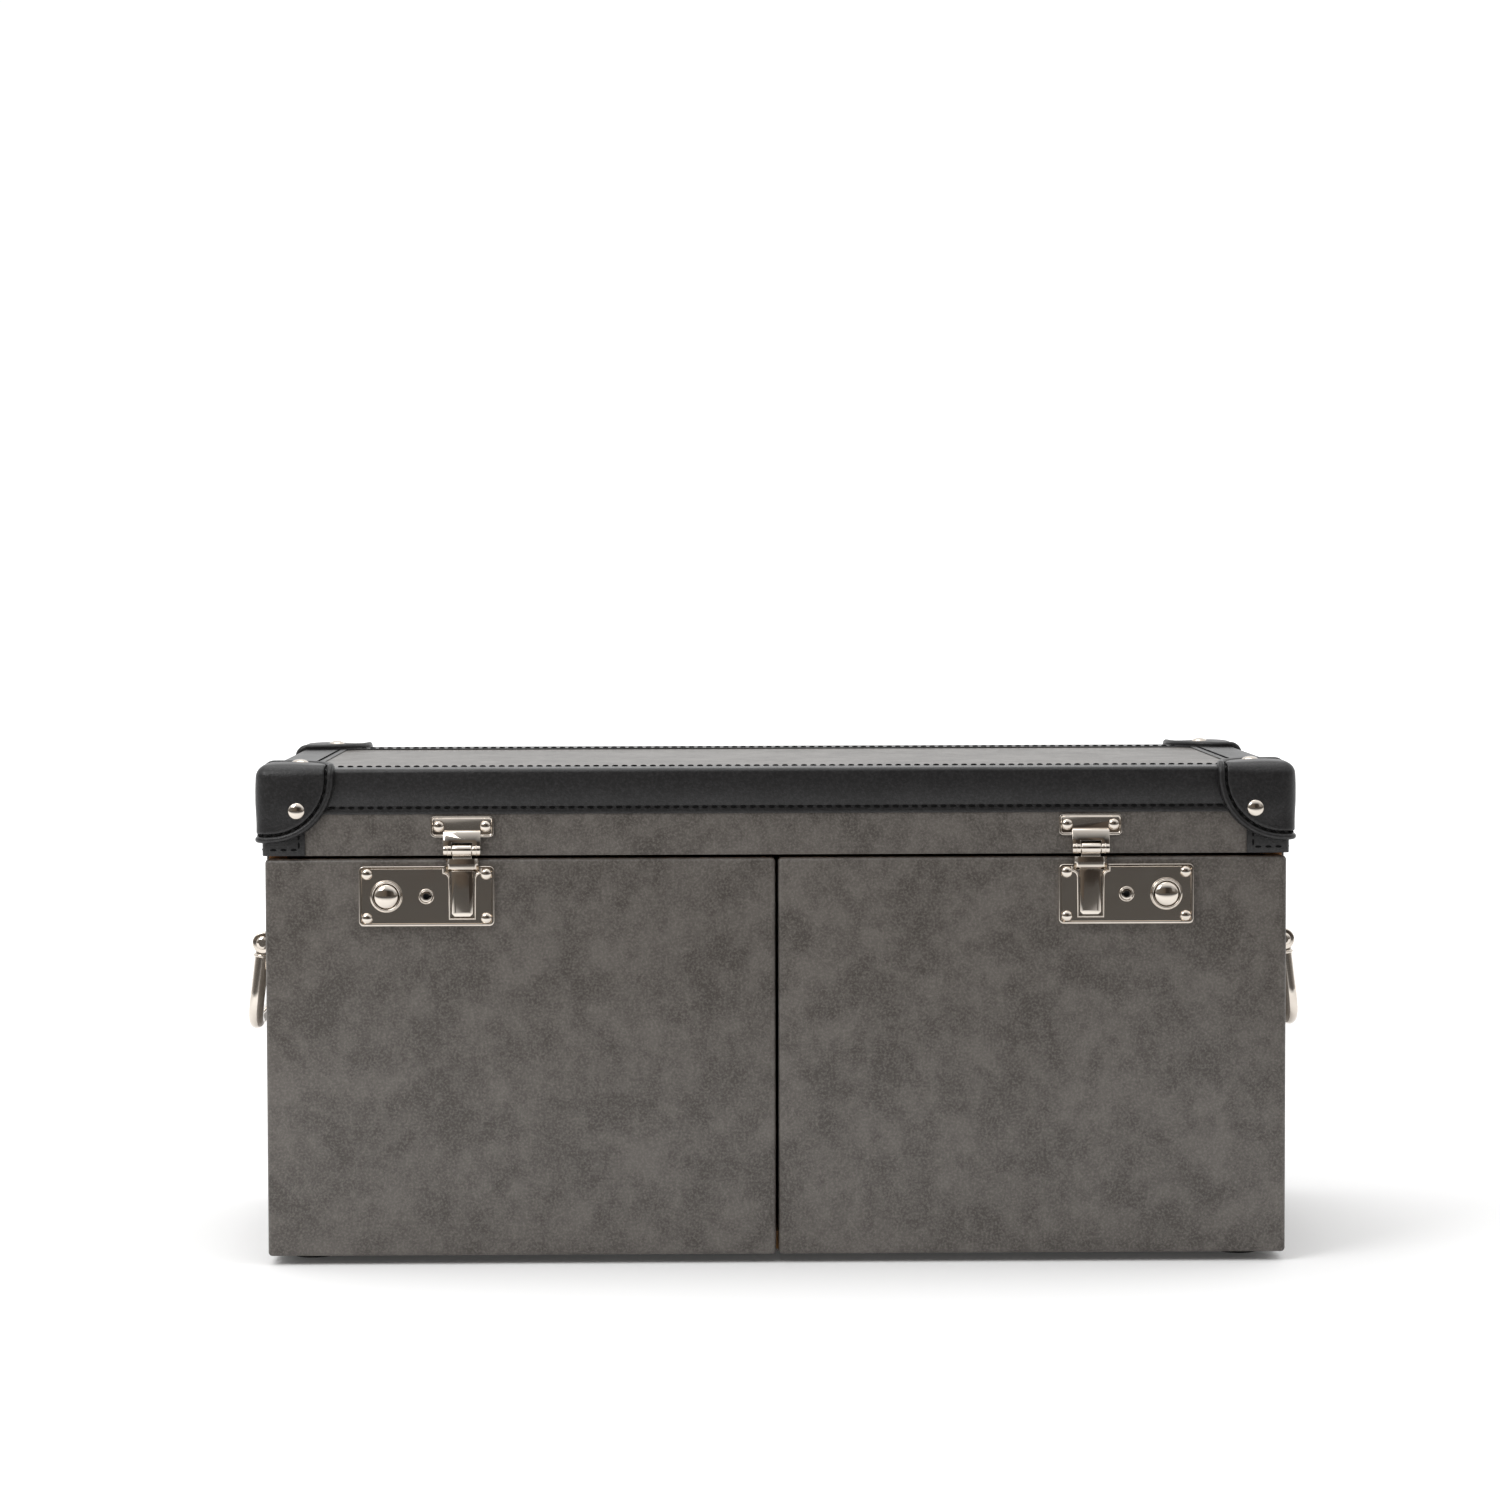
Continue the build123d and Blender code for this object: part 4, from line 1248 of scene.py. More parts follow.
    def seams(self) -> None:
        """Stitch the band's lower edge and top edge, and the strips' inner and lower edges."""
        low = self.band.lo.z + self.stitch_in
        inner = self.band_top - self.stitch_in * 0.9
        for sign in (-1, 1):
            y = self.band.lo.y if sign < 0 else self.band.hi.y
            x = self.band.lo.x if sign < 0 else self.band.hi.x
            across, along = Vector((0, sign, 0)), Vector((sign, 0, 0))
            x_end = self.lid.hi.x - self.seam_end
            y_lo, y_hi = self.lid.lo.y + self.seam_end, self.lid.hi.y - self.seam_end
            self.thread.line(Vector((-x_end, y, low)), Vector((x_end, y, low)), across)
            self.thread.line(Vector((x, y_lo, low)), Vector((x, y_hi, low)), along)
            y_top = (self.lid.lo.y if sign < 0 else self.lid.hi.y) - sign * inner
            x_top = (self.lid.lo.x if sign < 0 else self.lid.hi.x) - sign * inner
            z = self.band.hi.z
            ends = self.lid.hi.x - inner
            y_ends = (self.lid.lo.y + inner, self.lid.hi.y - inner)
            self.thread.line(Vector((-ends, y_top, z)), Vector((ends, y_top, z)), UP)
            self.thread.line(Vector((x_top, y_ends[0], z)), Vector((x_top, y_ends[1], z)), UP)
        for strip in islands("corner_strips"):
            self._strip_seams(strip)

    def _strip_seams(self, strip: Extent) -> None:
        """Stitch one corner strip along its inner and lower edges, on both faces.

        Args:
            strip: where the strip is.
        """
        sx = 1 if strip.centre.x > 0 else -1
        sy = 1 if strip.centre.y > self.lid.centre.y else -1
        outer = Vector((strip.hi.x if sx > 0 else strip.lo.x, strip.hi.y if sy > 0 else strip.lo.y, 0))
        width, gap = strip.size.x, self.strip_seam_in
        z0, z1 = strip.lo.z + gap, strip.hi.z
        along_x, along_y = Vector((sx, 0, 0)), Vector((0, sy, 0))
        for face, run in ((along_y, -along_x), (along_x, -along_y)):
            far = outer + run * (width - gap)
            near = outer + run * gap
            self.thread.line(far + Vector((0, 0, z0)), far + Vector((0, 0, z1)), face)
            self.thread.line(near + Vector((0, 0, z0)), far + Vector((0, 0, z0)), face)

    def cap(self, sx: int, sy: int) -> bpy.types.Object:
        """Model one moulded cap: a base layer, a raised body and a rolled rim round its edge.

        Args:
            sx: side along X, -1 or 1.
            sy: side along Y, -1 or 1.

        Returns:
            The cap.
        """
        node = f"corner_cap_{'front' if sy < 0 else 'back'}_{'right' if sx > 0 else 'left'}"
        box = extent(node)
        tip = Vector((box.hi.x if sx > 0 else box.lo.x, box.hi.y if sy > 0 else box.lo.y, box.hi.z))
        inward = Vector((-sx, -sy, -1))
        base = self._cap_layer("cap_base", tip, inward, self.layer_sunk, self.cap_reach)
        body = self._cap_layer("cap_body", tip, inward, 0.0, self.cap_reach - self.groove)
        rim, _ = self._edge_path(tip, inward, self.cap_reach - self.roll, self.roll_sunk)
        roll = Bench.tube("cap_roll", rim, self.roll, closed=True, smooth=True)
        seam_reach = self.cap_reach - self.groove + self.seam_off
        seam, outs = self._edge_path(tip, inward, seam_reach, self.seam_sunk)
        self.thread.path(seam + seam[:1], outs + outs[:1])
        cap = Bench.join(node + "_moulded", [base, body, roll])
        return Bench.finish(cap, "lid", self.finishes.black, "black_leather", [node], angle=50)

    def _cap_layer(self, name: str, tip: Vector, inward: Vector, sunk: float,
                   reach: float) -> bpy.types.Object:
        """Model one layer of a cap: a rounded corner met by a sphere, hollowed for the lid.

        Args:
            name: name of the layer.
            tip: outer corner of the cap.
            inward: signs that point from the tip into the lid.
            sunk: how far the layer lies under the cap's surface.
            reach: radius of the layer about the tip.

        Returns:
            The layer.
        """
        near = tip + inward * sunk
        far = tip + inward * 2 * self.cap_reach
        lo = Vector([min(near[k], far[k]) for k in range(3)])
        hi = Vector([max(near[k], far[k]) for k in range(3)])
        layer = Bench.block(name, lo, hi)
        Bench.round_edges(layer, self.cap_round - sunk, 8,
                          lambda m, run: sum(abs(m[k] - near[k]) < TOUCH for k in range(3)) >= 2)
        Bench.clear()
        middle = tip + inward * self.cap_set
        bpy.ops.mesh.primitive_uv_sphere_add(segments=96, ring_count=64, radius=reach, location=middle)
        Bench.carve(layer, Bench.named("reach"), Cut.KEEP_SHARED)
        Bench.carve(layer, Bench.block("lid_core", self.lid.lo, self.lid.hi))
        if not sunk:
            Bench.ease(layer, self.layer_edge, 4, 50)
            self._pad(layer, tip, inward)
        return layer

    def _pad(self, layer: bpy.types.Object, tip: Vector, inward: Vector) -> None:
        """Swell the cap's three faces, as leather does over its padding.

        Args:
            layer: the cap's body.
            tip: outer corner of the cap.
            inward: signs that point from the tip into the lid.
        """
        Bench.modify(layer, "REMESH", mode="VOXEL", voxel_size=self.pad_grid, use_smooth_shade=True)
        for flat in range(3):
            out = Vector([-inward[k] if k == flat else 0.0 for k in range(3)])
            middle = tip + Vector([0.0 if k == flat else inward[k] * self.pad_reach for k in range(3)])
            with Bench.editing(layer):
                if Bench.pick(layer, Element.FACE, lambda m, n, at=middle: (m - at).length < self.pad_top):
                    bpy.ops.transform.translate(
                        value=out * self.swell, use_proportional_edit=True,
                        proportional_edit_falloff="SMOOTH", proportional_size=self.pad_reach)

    def _edge_path(self, tip: Vector, inward: Vector, reach: float,
                   sunk: float) -> tuple[list[Vector], list[Vector]]:
        """Trace the closed line where a sphere about the tip meets the cap's rounded surface.

        Args:
            tip: outer corner of the cap.
            inward: signs that point from the tip into the lid.
            reach: radius of the sphere.
            sunk: how far under the surface the line lies.

        Returns:
            The line's points, and the outward direction at each.
        """
        r, middle = self.cap_round, self.cap_set
        points, outs = [], []
        for flat in range(3):
            a, b = (flat + 1) % 3, (flat + 2) % 3
            flat_reach = math.sqrt(reach**2 - (middle - sunk) ** 2)
            start = math.asin((r - middle) / flat_reach)
            for step in range(self.flat_steps + 1):
                angle = start + (math.pi / 2 - 2 * start) * step / self.flat_steps
                local, out = Vector((0, 0, 0)), Vector((0, 0, 0))
                local[a] = middle + flat_reach * math.cos(angle)
                local[b] = middle + flat_reach * math.sin(angle)
                local[flat] = sunk
                out[flat] = -1
                points.append(local)
                outs.append(out)
            for step in range(1, self.turn_steps):
                turn = math.pi / 2 * step / self.turn_steps
                local, out = Vector((0, 0, 0)), Vector((0, 0, 0))
                local[flat] = r - (r - sunk) * math.cos(turn)
                local[a] = r - (r - sunk) * math.sin(turn)
                rest = reach**2 - (local[flat] - middle) ** 2 - (local[a] - middle) ** 2
                local[b] = middle + math.sqrt(max(0.0, rest))
                out[flat], out[a] = -math.cos(turn), -math.sin(turn)
                points.append(local)
                outs.append(out)
        return [tip + point * inward for point in points], [out * inward for out in outs]


# ------------------------------------------------------------------ metalwork


@dataclass
class Lock:
    """A lock plate with its button, key plug and hasp channel, on one door."""

    finishes: Finishes
    rim: float = 1.35 * MM
    rim_high: float = 0.75 * MM
    rim_slope: float = 0.35 * MM
    rim_round: float = 0.6 * MM
    thick: float = 3.6 * MM
    corner: float = 2.6 * MM
    hasp_half: float = 6.35 * MM
    flare_half: float = 9.65 * MM
    flare_high: float = 3.4 * MM
    mouth: float = 3.8 * MM
    channel_floor: float = 0.45 * MM
    foot_gap: float = 0.6 * MM
    ridge: float = 0.62 * MM
    ridge_sunk: float = 0.2 * MM
    cup_bore: float = 7.0 * MM
    cup_lip: tuple[float, float] = (7.75 * MM, 0.72 * MM)
    cup_foot: tuple[float, float] = (8.55 * MM, 0.35 * MM)
    cup_wall: tuple[float, float, float] = (8.45 * MM, 7.03 * MM, 2.0 * MM)
    key_bore: float = 3.26 * MM
    key_lip: tuple[float, float] = (3.78 * MM, 0.45 * MM)
    key_wall: tuple[float, float, float] = (4.2 * MM, 3.3 * MM, 1.3 * MM)
    bore_length: float = 12 * MM
    cam_gap: float = 0.35 * MM
    button_radius: float = 6.8 * MM
    button_foot: tuple[float, float] = (7.3 * MM, 0.8 * MM)
    dome_high: float = 2.9 * MM
    plug_radius: float = 3.2 * MM
    plug_flange: tuple[float, float] = (3.7 * MM, 0.8 * MM)
    keyhole: float = 1.75 * MM
    key_slot: tuple[float, float] = (2.75 * MM, 1.2 * MM)
    keyhole_floor: float = 1.2 * MM

    def build(self) -> None:
        """Model the right-hand lock and mirror it to the left."""
        made = {
            "lock_plate": self.plate(),
            "lock_button": self.button(),
            "key_plug": self.plug(),
        }
        bodies = {"lock_plate": "door", "lock_button": "button", "key_plug": "key"}
        for node, right in made.items():
            left = Bench.twin(f"{node}_left_polished", right)
            for side, piece in ((Side.RIGHT, right), (Side.LEFT, left)):
                body = f"{bodies[node]}_{side.word}"
                Bench.finish(piece, body, self.finishes.nickel, "polished_nickel", [f"{node}_{side.word}"])
                # The key plug's keyhole gets painted shade.
                if node == "key_plug":
                    self._blacken(piece, extent(f"{node}_{side.word}"))
        for side in Side:
            Domes(f"lock_rivets_{side.word}", f"door_{side.word}").build(self.finishes.nickel)

    def _blacken(self, plug: bpy.types.Object, box: Extent) -> None:
        """Paint shade inside the keyhole: its walls take the black finish of the feet in place of the hole's
        shade.

        Args:
            plug: the key plug.
            box: the box it was modelled to.
        """
        reach = self.plug_radius - 0.3 * MM
        # Painted shade: the feet's black finish on the keyhole walls stands in for the shade deep in the
        # hole.
        plug.data.materials.append(self.finishes.rubber)
        with Bench.editing(plug):
            Bench.pick(plug, Element.FACE, lambda m, n: m.y > box.lo.y + 0.1 * MM
                       and math.hypot(m.x - box.centre.x, m.z - box.centre.z) < reach)
            plug.active_material_index = 1
            bpy.ops.object.material_slot_assign()

    def plate(self) -> bpy.types.Object:
        """Model the plate: raised rounded rim, sunk field, hasp channel, button cup and key collar.

        Returns:
            The right-hand plate.
        """
        box, hasp = extent("lock_plate_right"), extent("hasp_right")
        button, plug = extent("lock_button_right").centre, extent("key_plug_right").centre
        back = box.hi.y
        front = back - self.thick
        plate = Bench.block("plate", (box.lo.x, front, box.lo.z), (box.hi.x, back, box.hi.z))
        Bench.round_edges(plate, self.corner, 6, lambda m, run: abs(run.y) > 0.5)
        with Bench.editing(plate):
            Bench.pick(plate, Element.FACE, lambda m, n: n.y < -0.9)
            bpy.ops.mesh.inset(thickness=self.rim, depth=0)
            bpy.ops.mesh.inset(thickness=self.rim_slope, depth=-self.rim_high)
        Bench.round_edges(plate, self.rim_round, 4,
                          lambda m, run: m.y < front + TOUCH and self._outer(m, box, 0.2 * MM))
        centre = hasp.centre.x
        low = hasp.lo.z - self.foot_gap
        self._cut_channel(plate, centre, low, box.hi.z, front, back)
        field_y = front + self.rim_high
        ridge = self._ridge(centre, low, box.hi.z, field_y - self.ridge_sunk)
        cup, key = (Vector((hole.x, field_y, hole.z)) for hole in (button, plug))
        Bench.carve(plate, Bench.drum("cup_room", cup, FRONT, self.cup_bore, self.bore_length))
        Bench.carve(plate, Bench.drum("key_room", key, FRONT, self.key_bore, self.bore_length))
        cam = extent("lock_cam_right")
        reach = max(plug.z - cam.lo.z, cam.hi.z - plug.z) + self.cam_gap
        middle = Vector((plug.x, cam.centre.y, plug.z))
        Bench.carve(plate, Bench.drum("cam_room", middle, FRONT, reach, cam.size.y + 0.3 * MM, sides=96))
        parts = [
            plate,
            ridge,
            Bench.ring("cup_lip", cup + FRONT * 1.6 * MM, FRONT, *self.cup_lip),
            self._sleeve("cup_wall", cup + FRONT * 0.6 * MM, *self.cup_wall),
            Bench.ring("cup_foot", cup + FRONT * 0.15 * MM, FRONT, *self.cup_foot),
            Bench.ring("key_lip", key + FRONT * 1.0 * MM, FRONT, *self.key_lip),
            self._sleeve("key_wall", key + FRONT * 0.4 * MM, *self.key_wall),
        ]
        return Bench.join("lock_plate_right_polished", parts)

    def _outer(self, middle: Vector, box: Extent, margin: float) -> bool:
        """Whether a point lies on the plate's outer outline.

        Args:
            middle: the point.
            box: the plate's box.
            margin: how far from the outline still counts.

        Returns:
            True on the outline.
        """
        wide = min(middle.x - box.lo.x, box.hi.x - middle.x)
        tall = min(middle.z - box.lo.z, box.hi.z - middle.z)
        return min(wide, tall) < margin or math.hypot(
            max(0, self.corner - wide), max(0, self.corner - tall)) > self.corner - margin

    def _sleeve(self, name: str, centre: Vector, outer: float, inner: float,
                length: float) -> bpy.types.Object:
        """Model a short open sleeve that faces the front.

        Args:
            name: name of the new object.
            centre: its middle.
            outer: its outer radius.
            inner: its inner radius.
            length: its length.

        Returns:
            The sleeve.
        """
        sleeve = Bench.drum(name, centre, FRONT, outer, length)
        Bench.carve(sleeve, Bench.drum("bore", centre, FRONT, inner, 3 * length))
        return sleeve

    def _side_line(self, low: float, top: float, bend: float, half: float) -> list[tuple[float, float]]:
        """Trace the channel's right-hand side from its foot to its flared mouth.

        Args:
            low: height of its foot.
            top: height of the plate's top edge.
            bend: height where the flare ends.
            half: half of its width below the flare.

        Returns:
            Its points, across from the channel's middle and up.
        """
        flare = self.flare_half - self.hasp_half
        swing = [(half + flare * (1 - math.cos(t)), bend - self.flare_high * (1 - math.sin(t)))
                 for t in (math.pi / 2 * k / 6 for k in range(7))]
        return [(half, low)] + swing + [(half + flare, top + 0.4 * MM)]

    def _cut_channel(self, plate: bpy.types.Object, centre: float, low: float, top: float,
                     front: float, back: float) -> None:
        """Cut the open-topped channel that the hasp lies in.

        Args:
            plate: the plate that is cut.
            centre: where the channel's middle stands along X.
            low: height of its foot.
            top: height of the plate's top edge.
            front: the plate's front face.
            back: the plate's back face.
        """
        side = self._side_line(low, top, top - self.mouth, self.hasp_half)
        outline = side + [(-x, z) for x, z in reversed(side)]
        Bench.clear()
        data = bpy.data.meshes.new("channel")
        depth = (front - 2 * MM, back - self.channel_floor)
        data.from_pydata([(centre + x, depth[0], z) for x, z in outline], [], [list(range(len(outline)))])
        tool = bpy.data.objects.new("channel", data)
        bpy.context.scene.collection.objects.link(tool)
        with Bench.editing(tool):
            bpy.ops.mesh.select_all(action="SELECT")
            bpy.ops.mesh.extrude_region_move(TRANSFORM_OT_translate={"value": (0, depth[1] - depth[0], 0)})
            bpy.ops.mesh.select_all(action="SELECT")
            bpy.ops.mesh.normals_make_consistent(inside=False)
        Bench.carve(plate, tool)

    def _ridge(self, centre: float, low: float, top: float, y: float) -> bpy.types.Object:
        """Model the rounded ridge that borders the channel.

        Args:
            centre: where the channel's middle stands along X.
            low: height of the channel's foot.
            top: height of the plate's top edge.
            y: where the ridge's centre line stands along Y.

        Returns:
            The ridge.
        """
        half = self.hasp_half + self.ridge
        side = self._side_line(low - self.ridge, top - 0.8 * MM, top - self.mouth, half)
        path = list(reversed([(-x, z) for x, z in side]))
        points = [Vector((centre + x, y, z)) for x, z in path + side]
        return Bench.tube("ridge", points, self.ridge, smooth=False)

    def button(self) -> bpy.types.Object:
        """Model the domed press button.

        Returns:
            The right-hand button.
        """
        box = extent("lock_button_right")
        radius = self.button_radius
        foot = Vector((box.centre.x, box.hi.y, box.centre.z))
        stem = Bench.drum("button_stem", foot + FRONT * self.button_foot[1] / 2, FRONT, *self.button_foot)
        wall = box.size.y - self.dome_high + 0.3 * MM
        body = Bench.drum("button_body", foot + FRONT * wall / 2, FRONT, radius, wall, sides=64)
        dome = Bench.ball("button_dome", foot + FRONT * (wall - 0.3 * MM), (radius, self.dome_high, radius))
        Bench.ease(body, 0.3 * MM, 2, 60)
        return Bench.join("lock_button_right_polished", [body, stem, dome])

    def plug(self) -> bpy.types.Object:
        """Model the key plug with its round keyhole and slot.

        Returns:
            The right-hand plug.
        """
        box = extent("key_plug_right")
        front = Vector((box.centre.x, box.lo.y, box.centre.z))
        length = box.size.y - 0.9 * MM
        body = Bench.drum("plug_body", front - FRONT * length / 2, FRONT, self.plug_radius, length)
        Bench.ease(body, 0.35 * MM, 3, 60)
        deep = length - self.keyhole_floor
        Bench.carve(body, Bench.drum("keyhole", front, FRONT, self.keyhole, 2 * deep, sides=32))
        reach, wide = self.key_slot
        slot_lo = front + Vector((-reach, -MM, -wide / 2))
        slot_hi = front + Vector((0, deep, wide / 2))
        Bench.carve(body, Bench.block("slot", slot_lo, slot_hi))
        foot = front - FRONT * (box.size.y - self.plug_flange[1] / 2)
        flange = Bench.drum("plug_flange", foot, FRONT, *self.plug_flange)
        return Bench.join("key_plug_right_polished", [body, flange])


@dataclass
class Hasp:
    """A hinged hasp and the plate that carries it on the lid."""

    finishes: Finishes
    knuckle: float = 3.1 * MM
    bore: float = 1.55 * MM
    bead: float = 0.32 * MM
    sheet: float = 2.4 * MM
    plate_thick: float = 1.9 * MM
    plate_high: float = 11.5 * MM
    plate_corner: float = 2.5 * MM
    rim: float = 0.95 * MM
    field_deep: float = 0.4 * MM
    tab_half: float = 10.2 * MM
    tab_from: float = 7.6 * MM
    tab_proud: float = 0.9 * MM
    tab_round: float = 1.6 * MM
    window_half: float = 5.6 * MM
    neck_half: float = 5.3 * MM
    shoulder_half: float = 9.05 * MM
    shoulder_drop: float = 7 * MM
    shoulder_slope: float = 2.1 * MM
    shank_half: float = 5.75 * MM
    shank_corner: float = 1.5 * MM
    crown: tuple[float, float] = (2.2 * MM, 0.22 * MM)
    door_gap: float = 0.8 * MM
    slot_from: float = 20.3 * MM
    slot_reach: tuple[float, float] = (-2.3 * MM, 8.3 * MM)
    slot_deep: float = 2.4 * MM
    slot_lies: tuple[float, float] = (1.7 * MM, 0.7 * MM)

    def build(self) -> None:
        """Model the right-hand hasp and plate and mirror them to the left."""
        for node, right, body in (
            ("hasp_plate", self.plate(), "lid"),
            ("hasp", self.strap(), "hasp"),
        ):
            left = Bench.twin(f"{node}_left_polished", right)
            for side, piece in ((Side.RIGHT, right), (Side.LEFT, left)):
                on = body if body == "lid" else f"{body}_{side.word}"
                Bench.finish(piece, on, self.finishes.nickel, "polished_nickel", [f"{node}_{side.word}"])
        Domes("hasp_rivets", "lid").build(self.finishes.nickel)

    def _pivot(self) -> Vector:
        """Centre of the right-hand hasp's pin."""
        return next(pin.centre for pin in islands("hasp_pins") if pin.centre.x > 0)

    def _barrel(self, name: str, centre: Vector, length: float) -> bpy.types.Object:
        """Model one knuckle with a bore for the pin.

        Args:
            name: name of the new object.
            centre: its middle.
            length: its length along the pin.

        Returns:
            The knuckle.
        """
        barrel = Bench.drum(name, centre, (1, 0, 0), self.knuckle, length, sides=40)
        Bench.ease(barrel, 0.35 * MM, 3, 60)
        Bench.carve(barrel, Bench.drum("bore", centre, (1, 0, 0), self.bore, 2 * length, sides=24))
        return barrel

    def plate(self) -> bpy.types.Object:
        """Model the plate: rounded, rimmed, with a tab down to its two outer knuckles.

        Returns:
            The right-hand plate.
        """
        box, pin = extent("hasp_plate_right"), self._pivot()
        back, high = box.hi.y, box.hi.z
        front, low = back - self.plate_thick, high - self.plate_high
        plate = Bench.block("hasp_plate_right_polished", (box.lo.x, front, low), (box.hi.x, back, high))
        Bench.round_edges(plate, self.plate_corner, 6, lambda m, run: abs(run.y) > 0.5)
        with Bench.editing(plate):
            Bench.pick(plate, Element.FACE, lambda m, n: n.y < -0.9)
            bpy.ops.mesh.inset(thickness=self.rim, depth=0)
            bpy.ops.mesh.inset(thickness=0.3 * MM, depth=-self.field_deep)
        Bench.ease(plate, 0.28 * MM, 3, 40)
        half, window = self.tab_half, self.window_half
        tab_top = high - self.tab_from
        proud = front - self.tab_proud
        tab = Bench.block("tab", (pin.x - half, proud, pin.z), (pin.x + half, back - 0.3 * MM, tab_top))
        with Bench.editing(tab):
            Bench.pick(tab, Element.EDGE, lambda m, run: m.y < proud + TOUCH and m.z < pin.z + TOUCH)
            bpy.ops.transform.translate(value=(0, pin.y - self.knuckle + 0.2 * MM - proud, 0))
        Bench.round_edges(tab, self.tab_round, 6,
                          lambda m, run: m.y < proud + TOUCH and m.z > tab_top - TOUCH)
        room_lo = Vector((pin.x - window, pin.y - 5 * MM, pin.z - 5 * MM))
        room_hi = Vector((pin.x + window, back + MM, pin.z + self.knuckle + 0.9 * MM))
        Bench.carve(tab, Bench.block("window", room_lo, room_hi))
        Bench.ease(tab, 0.25 * MM, 2, 60)
        parts = [plate, tab]
        for sign in (-1, 1):
            length = half - window
            centre = pin + Vector((sign * (window + length / 2), 0, 0))
            parts.append(self._barrel("outer_knuckle", centre, length))
            parts.append(Bench.ring("bead", centre, (1, 0, 0), self.knuckle - 0.05 * MM, self.bead))
        return Bench.join("hasp_plate_right_polished", parts)

    def strap(self) -> bpy.types.Object:
        """Model the hasp: middle knuckle, neck, wide shoulder and crowned shank with a clipped foot.

        Returns:
            The right-hand hasp.
        """
        box, pin = extent("hasp_right"), self._pivot()
        door = extent("door_leather_right")
        back, top = door.lo.y - self.door_gap, door.hi.z
        front = back - self.sheet
        half = self.neck_half
        knuckle = self._barrel("middle_knuckle", pin, 2 * half)
        neck = Bench.block("neck", (pin.x - half, front, top - MM), (pin.x + half, back, pin.z - 1.7 * MM))
        half = self.shoulder_half
        shoulder_lo = (pin.x - half, front - 0.4 * MM, top - self.shoulder_drop)
        shoulder = Bench.block("shoulder", shoulder_lo, (pin.x + half, back, top + 0.2 * MM))
        Bench.round_edges(shoulder, self.shoulder_slope, 1, lambda m, run: m.y < front and m.z < top)
        Bench.ease(shoulder, 0.25 * MM, 2, 30)
        half = self.shank_half
        shank_top = top - self.shoulder_drop + 0.5 * MM
        shank_lo = (pin.x - half, front + 0.35 * MM, box.lo.z)
        shank = Bench.block("shank", shank_lo, (pin.x + half, back, shank_top))
        Bench.round_edges(shank, self.shank_corner, 1,
                          lambda m, run: abs(run.y) > 0.5 and m.z < box.lo.z + MM)
        with Bench.editing(shank):
            Bench.pick(shank, Element.FACE, lambda m, n: n.y < -0.9)
            bpy.ops.mesh.inset(thickness=self.crown[0], depth=self.crown[1])
        slot = top - self.slot_from
        slot_lo = (pin.x + half - self.slot_deep, back - self.slot_lies[0], slot + self.slot_reach[0])
        slot_hi = (pin.x + half + MM, back - self.slot_lies[1], slot + self.slot_reach[1])
        Bench.carve(shank, Bench.block("cam_slot", slot_lo, slot_hi))
        Bench.ease(neck, 0.4 * MM, 3, 50)
        Bench.ease(shank, 0.3 * MM, 3, 50)
        return Bench.join("hasp_right_polished", [knuckle, neck, shoulder, shank])


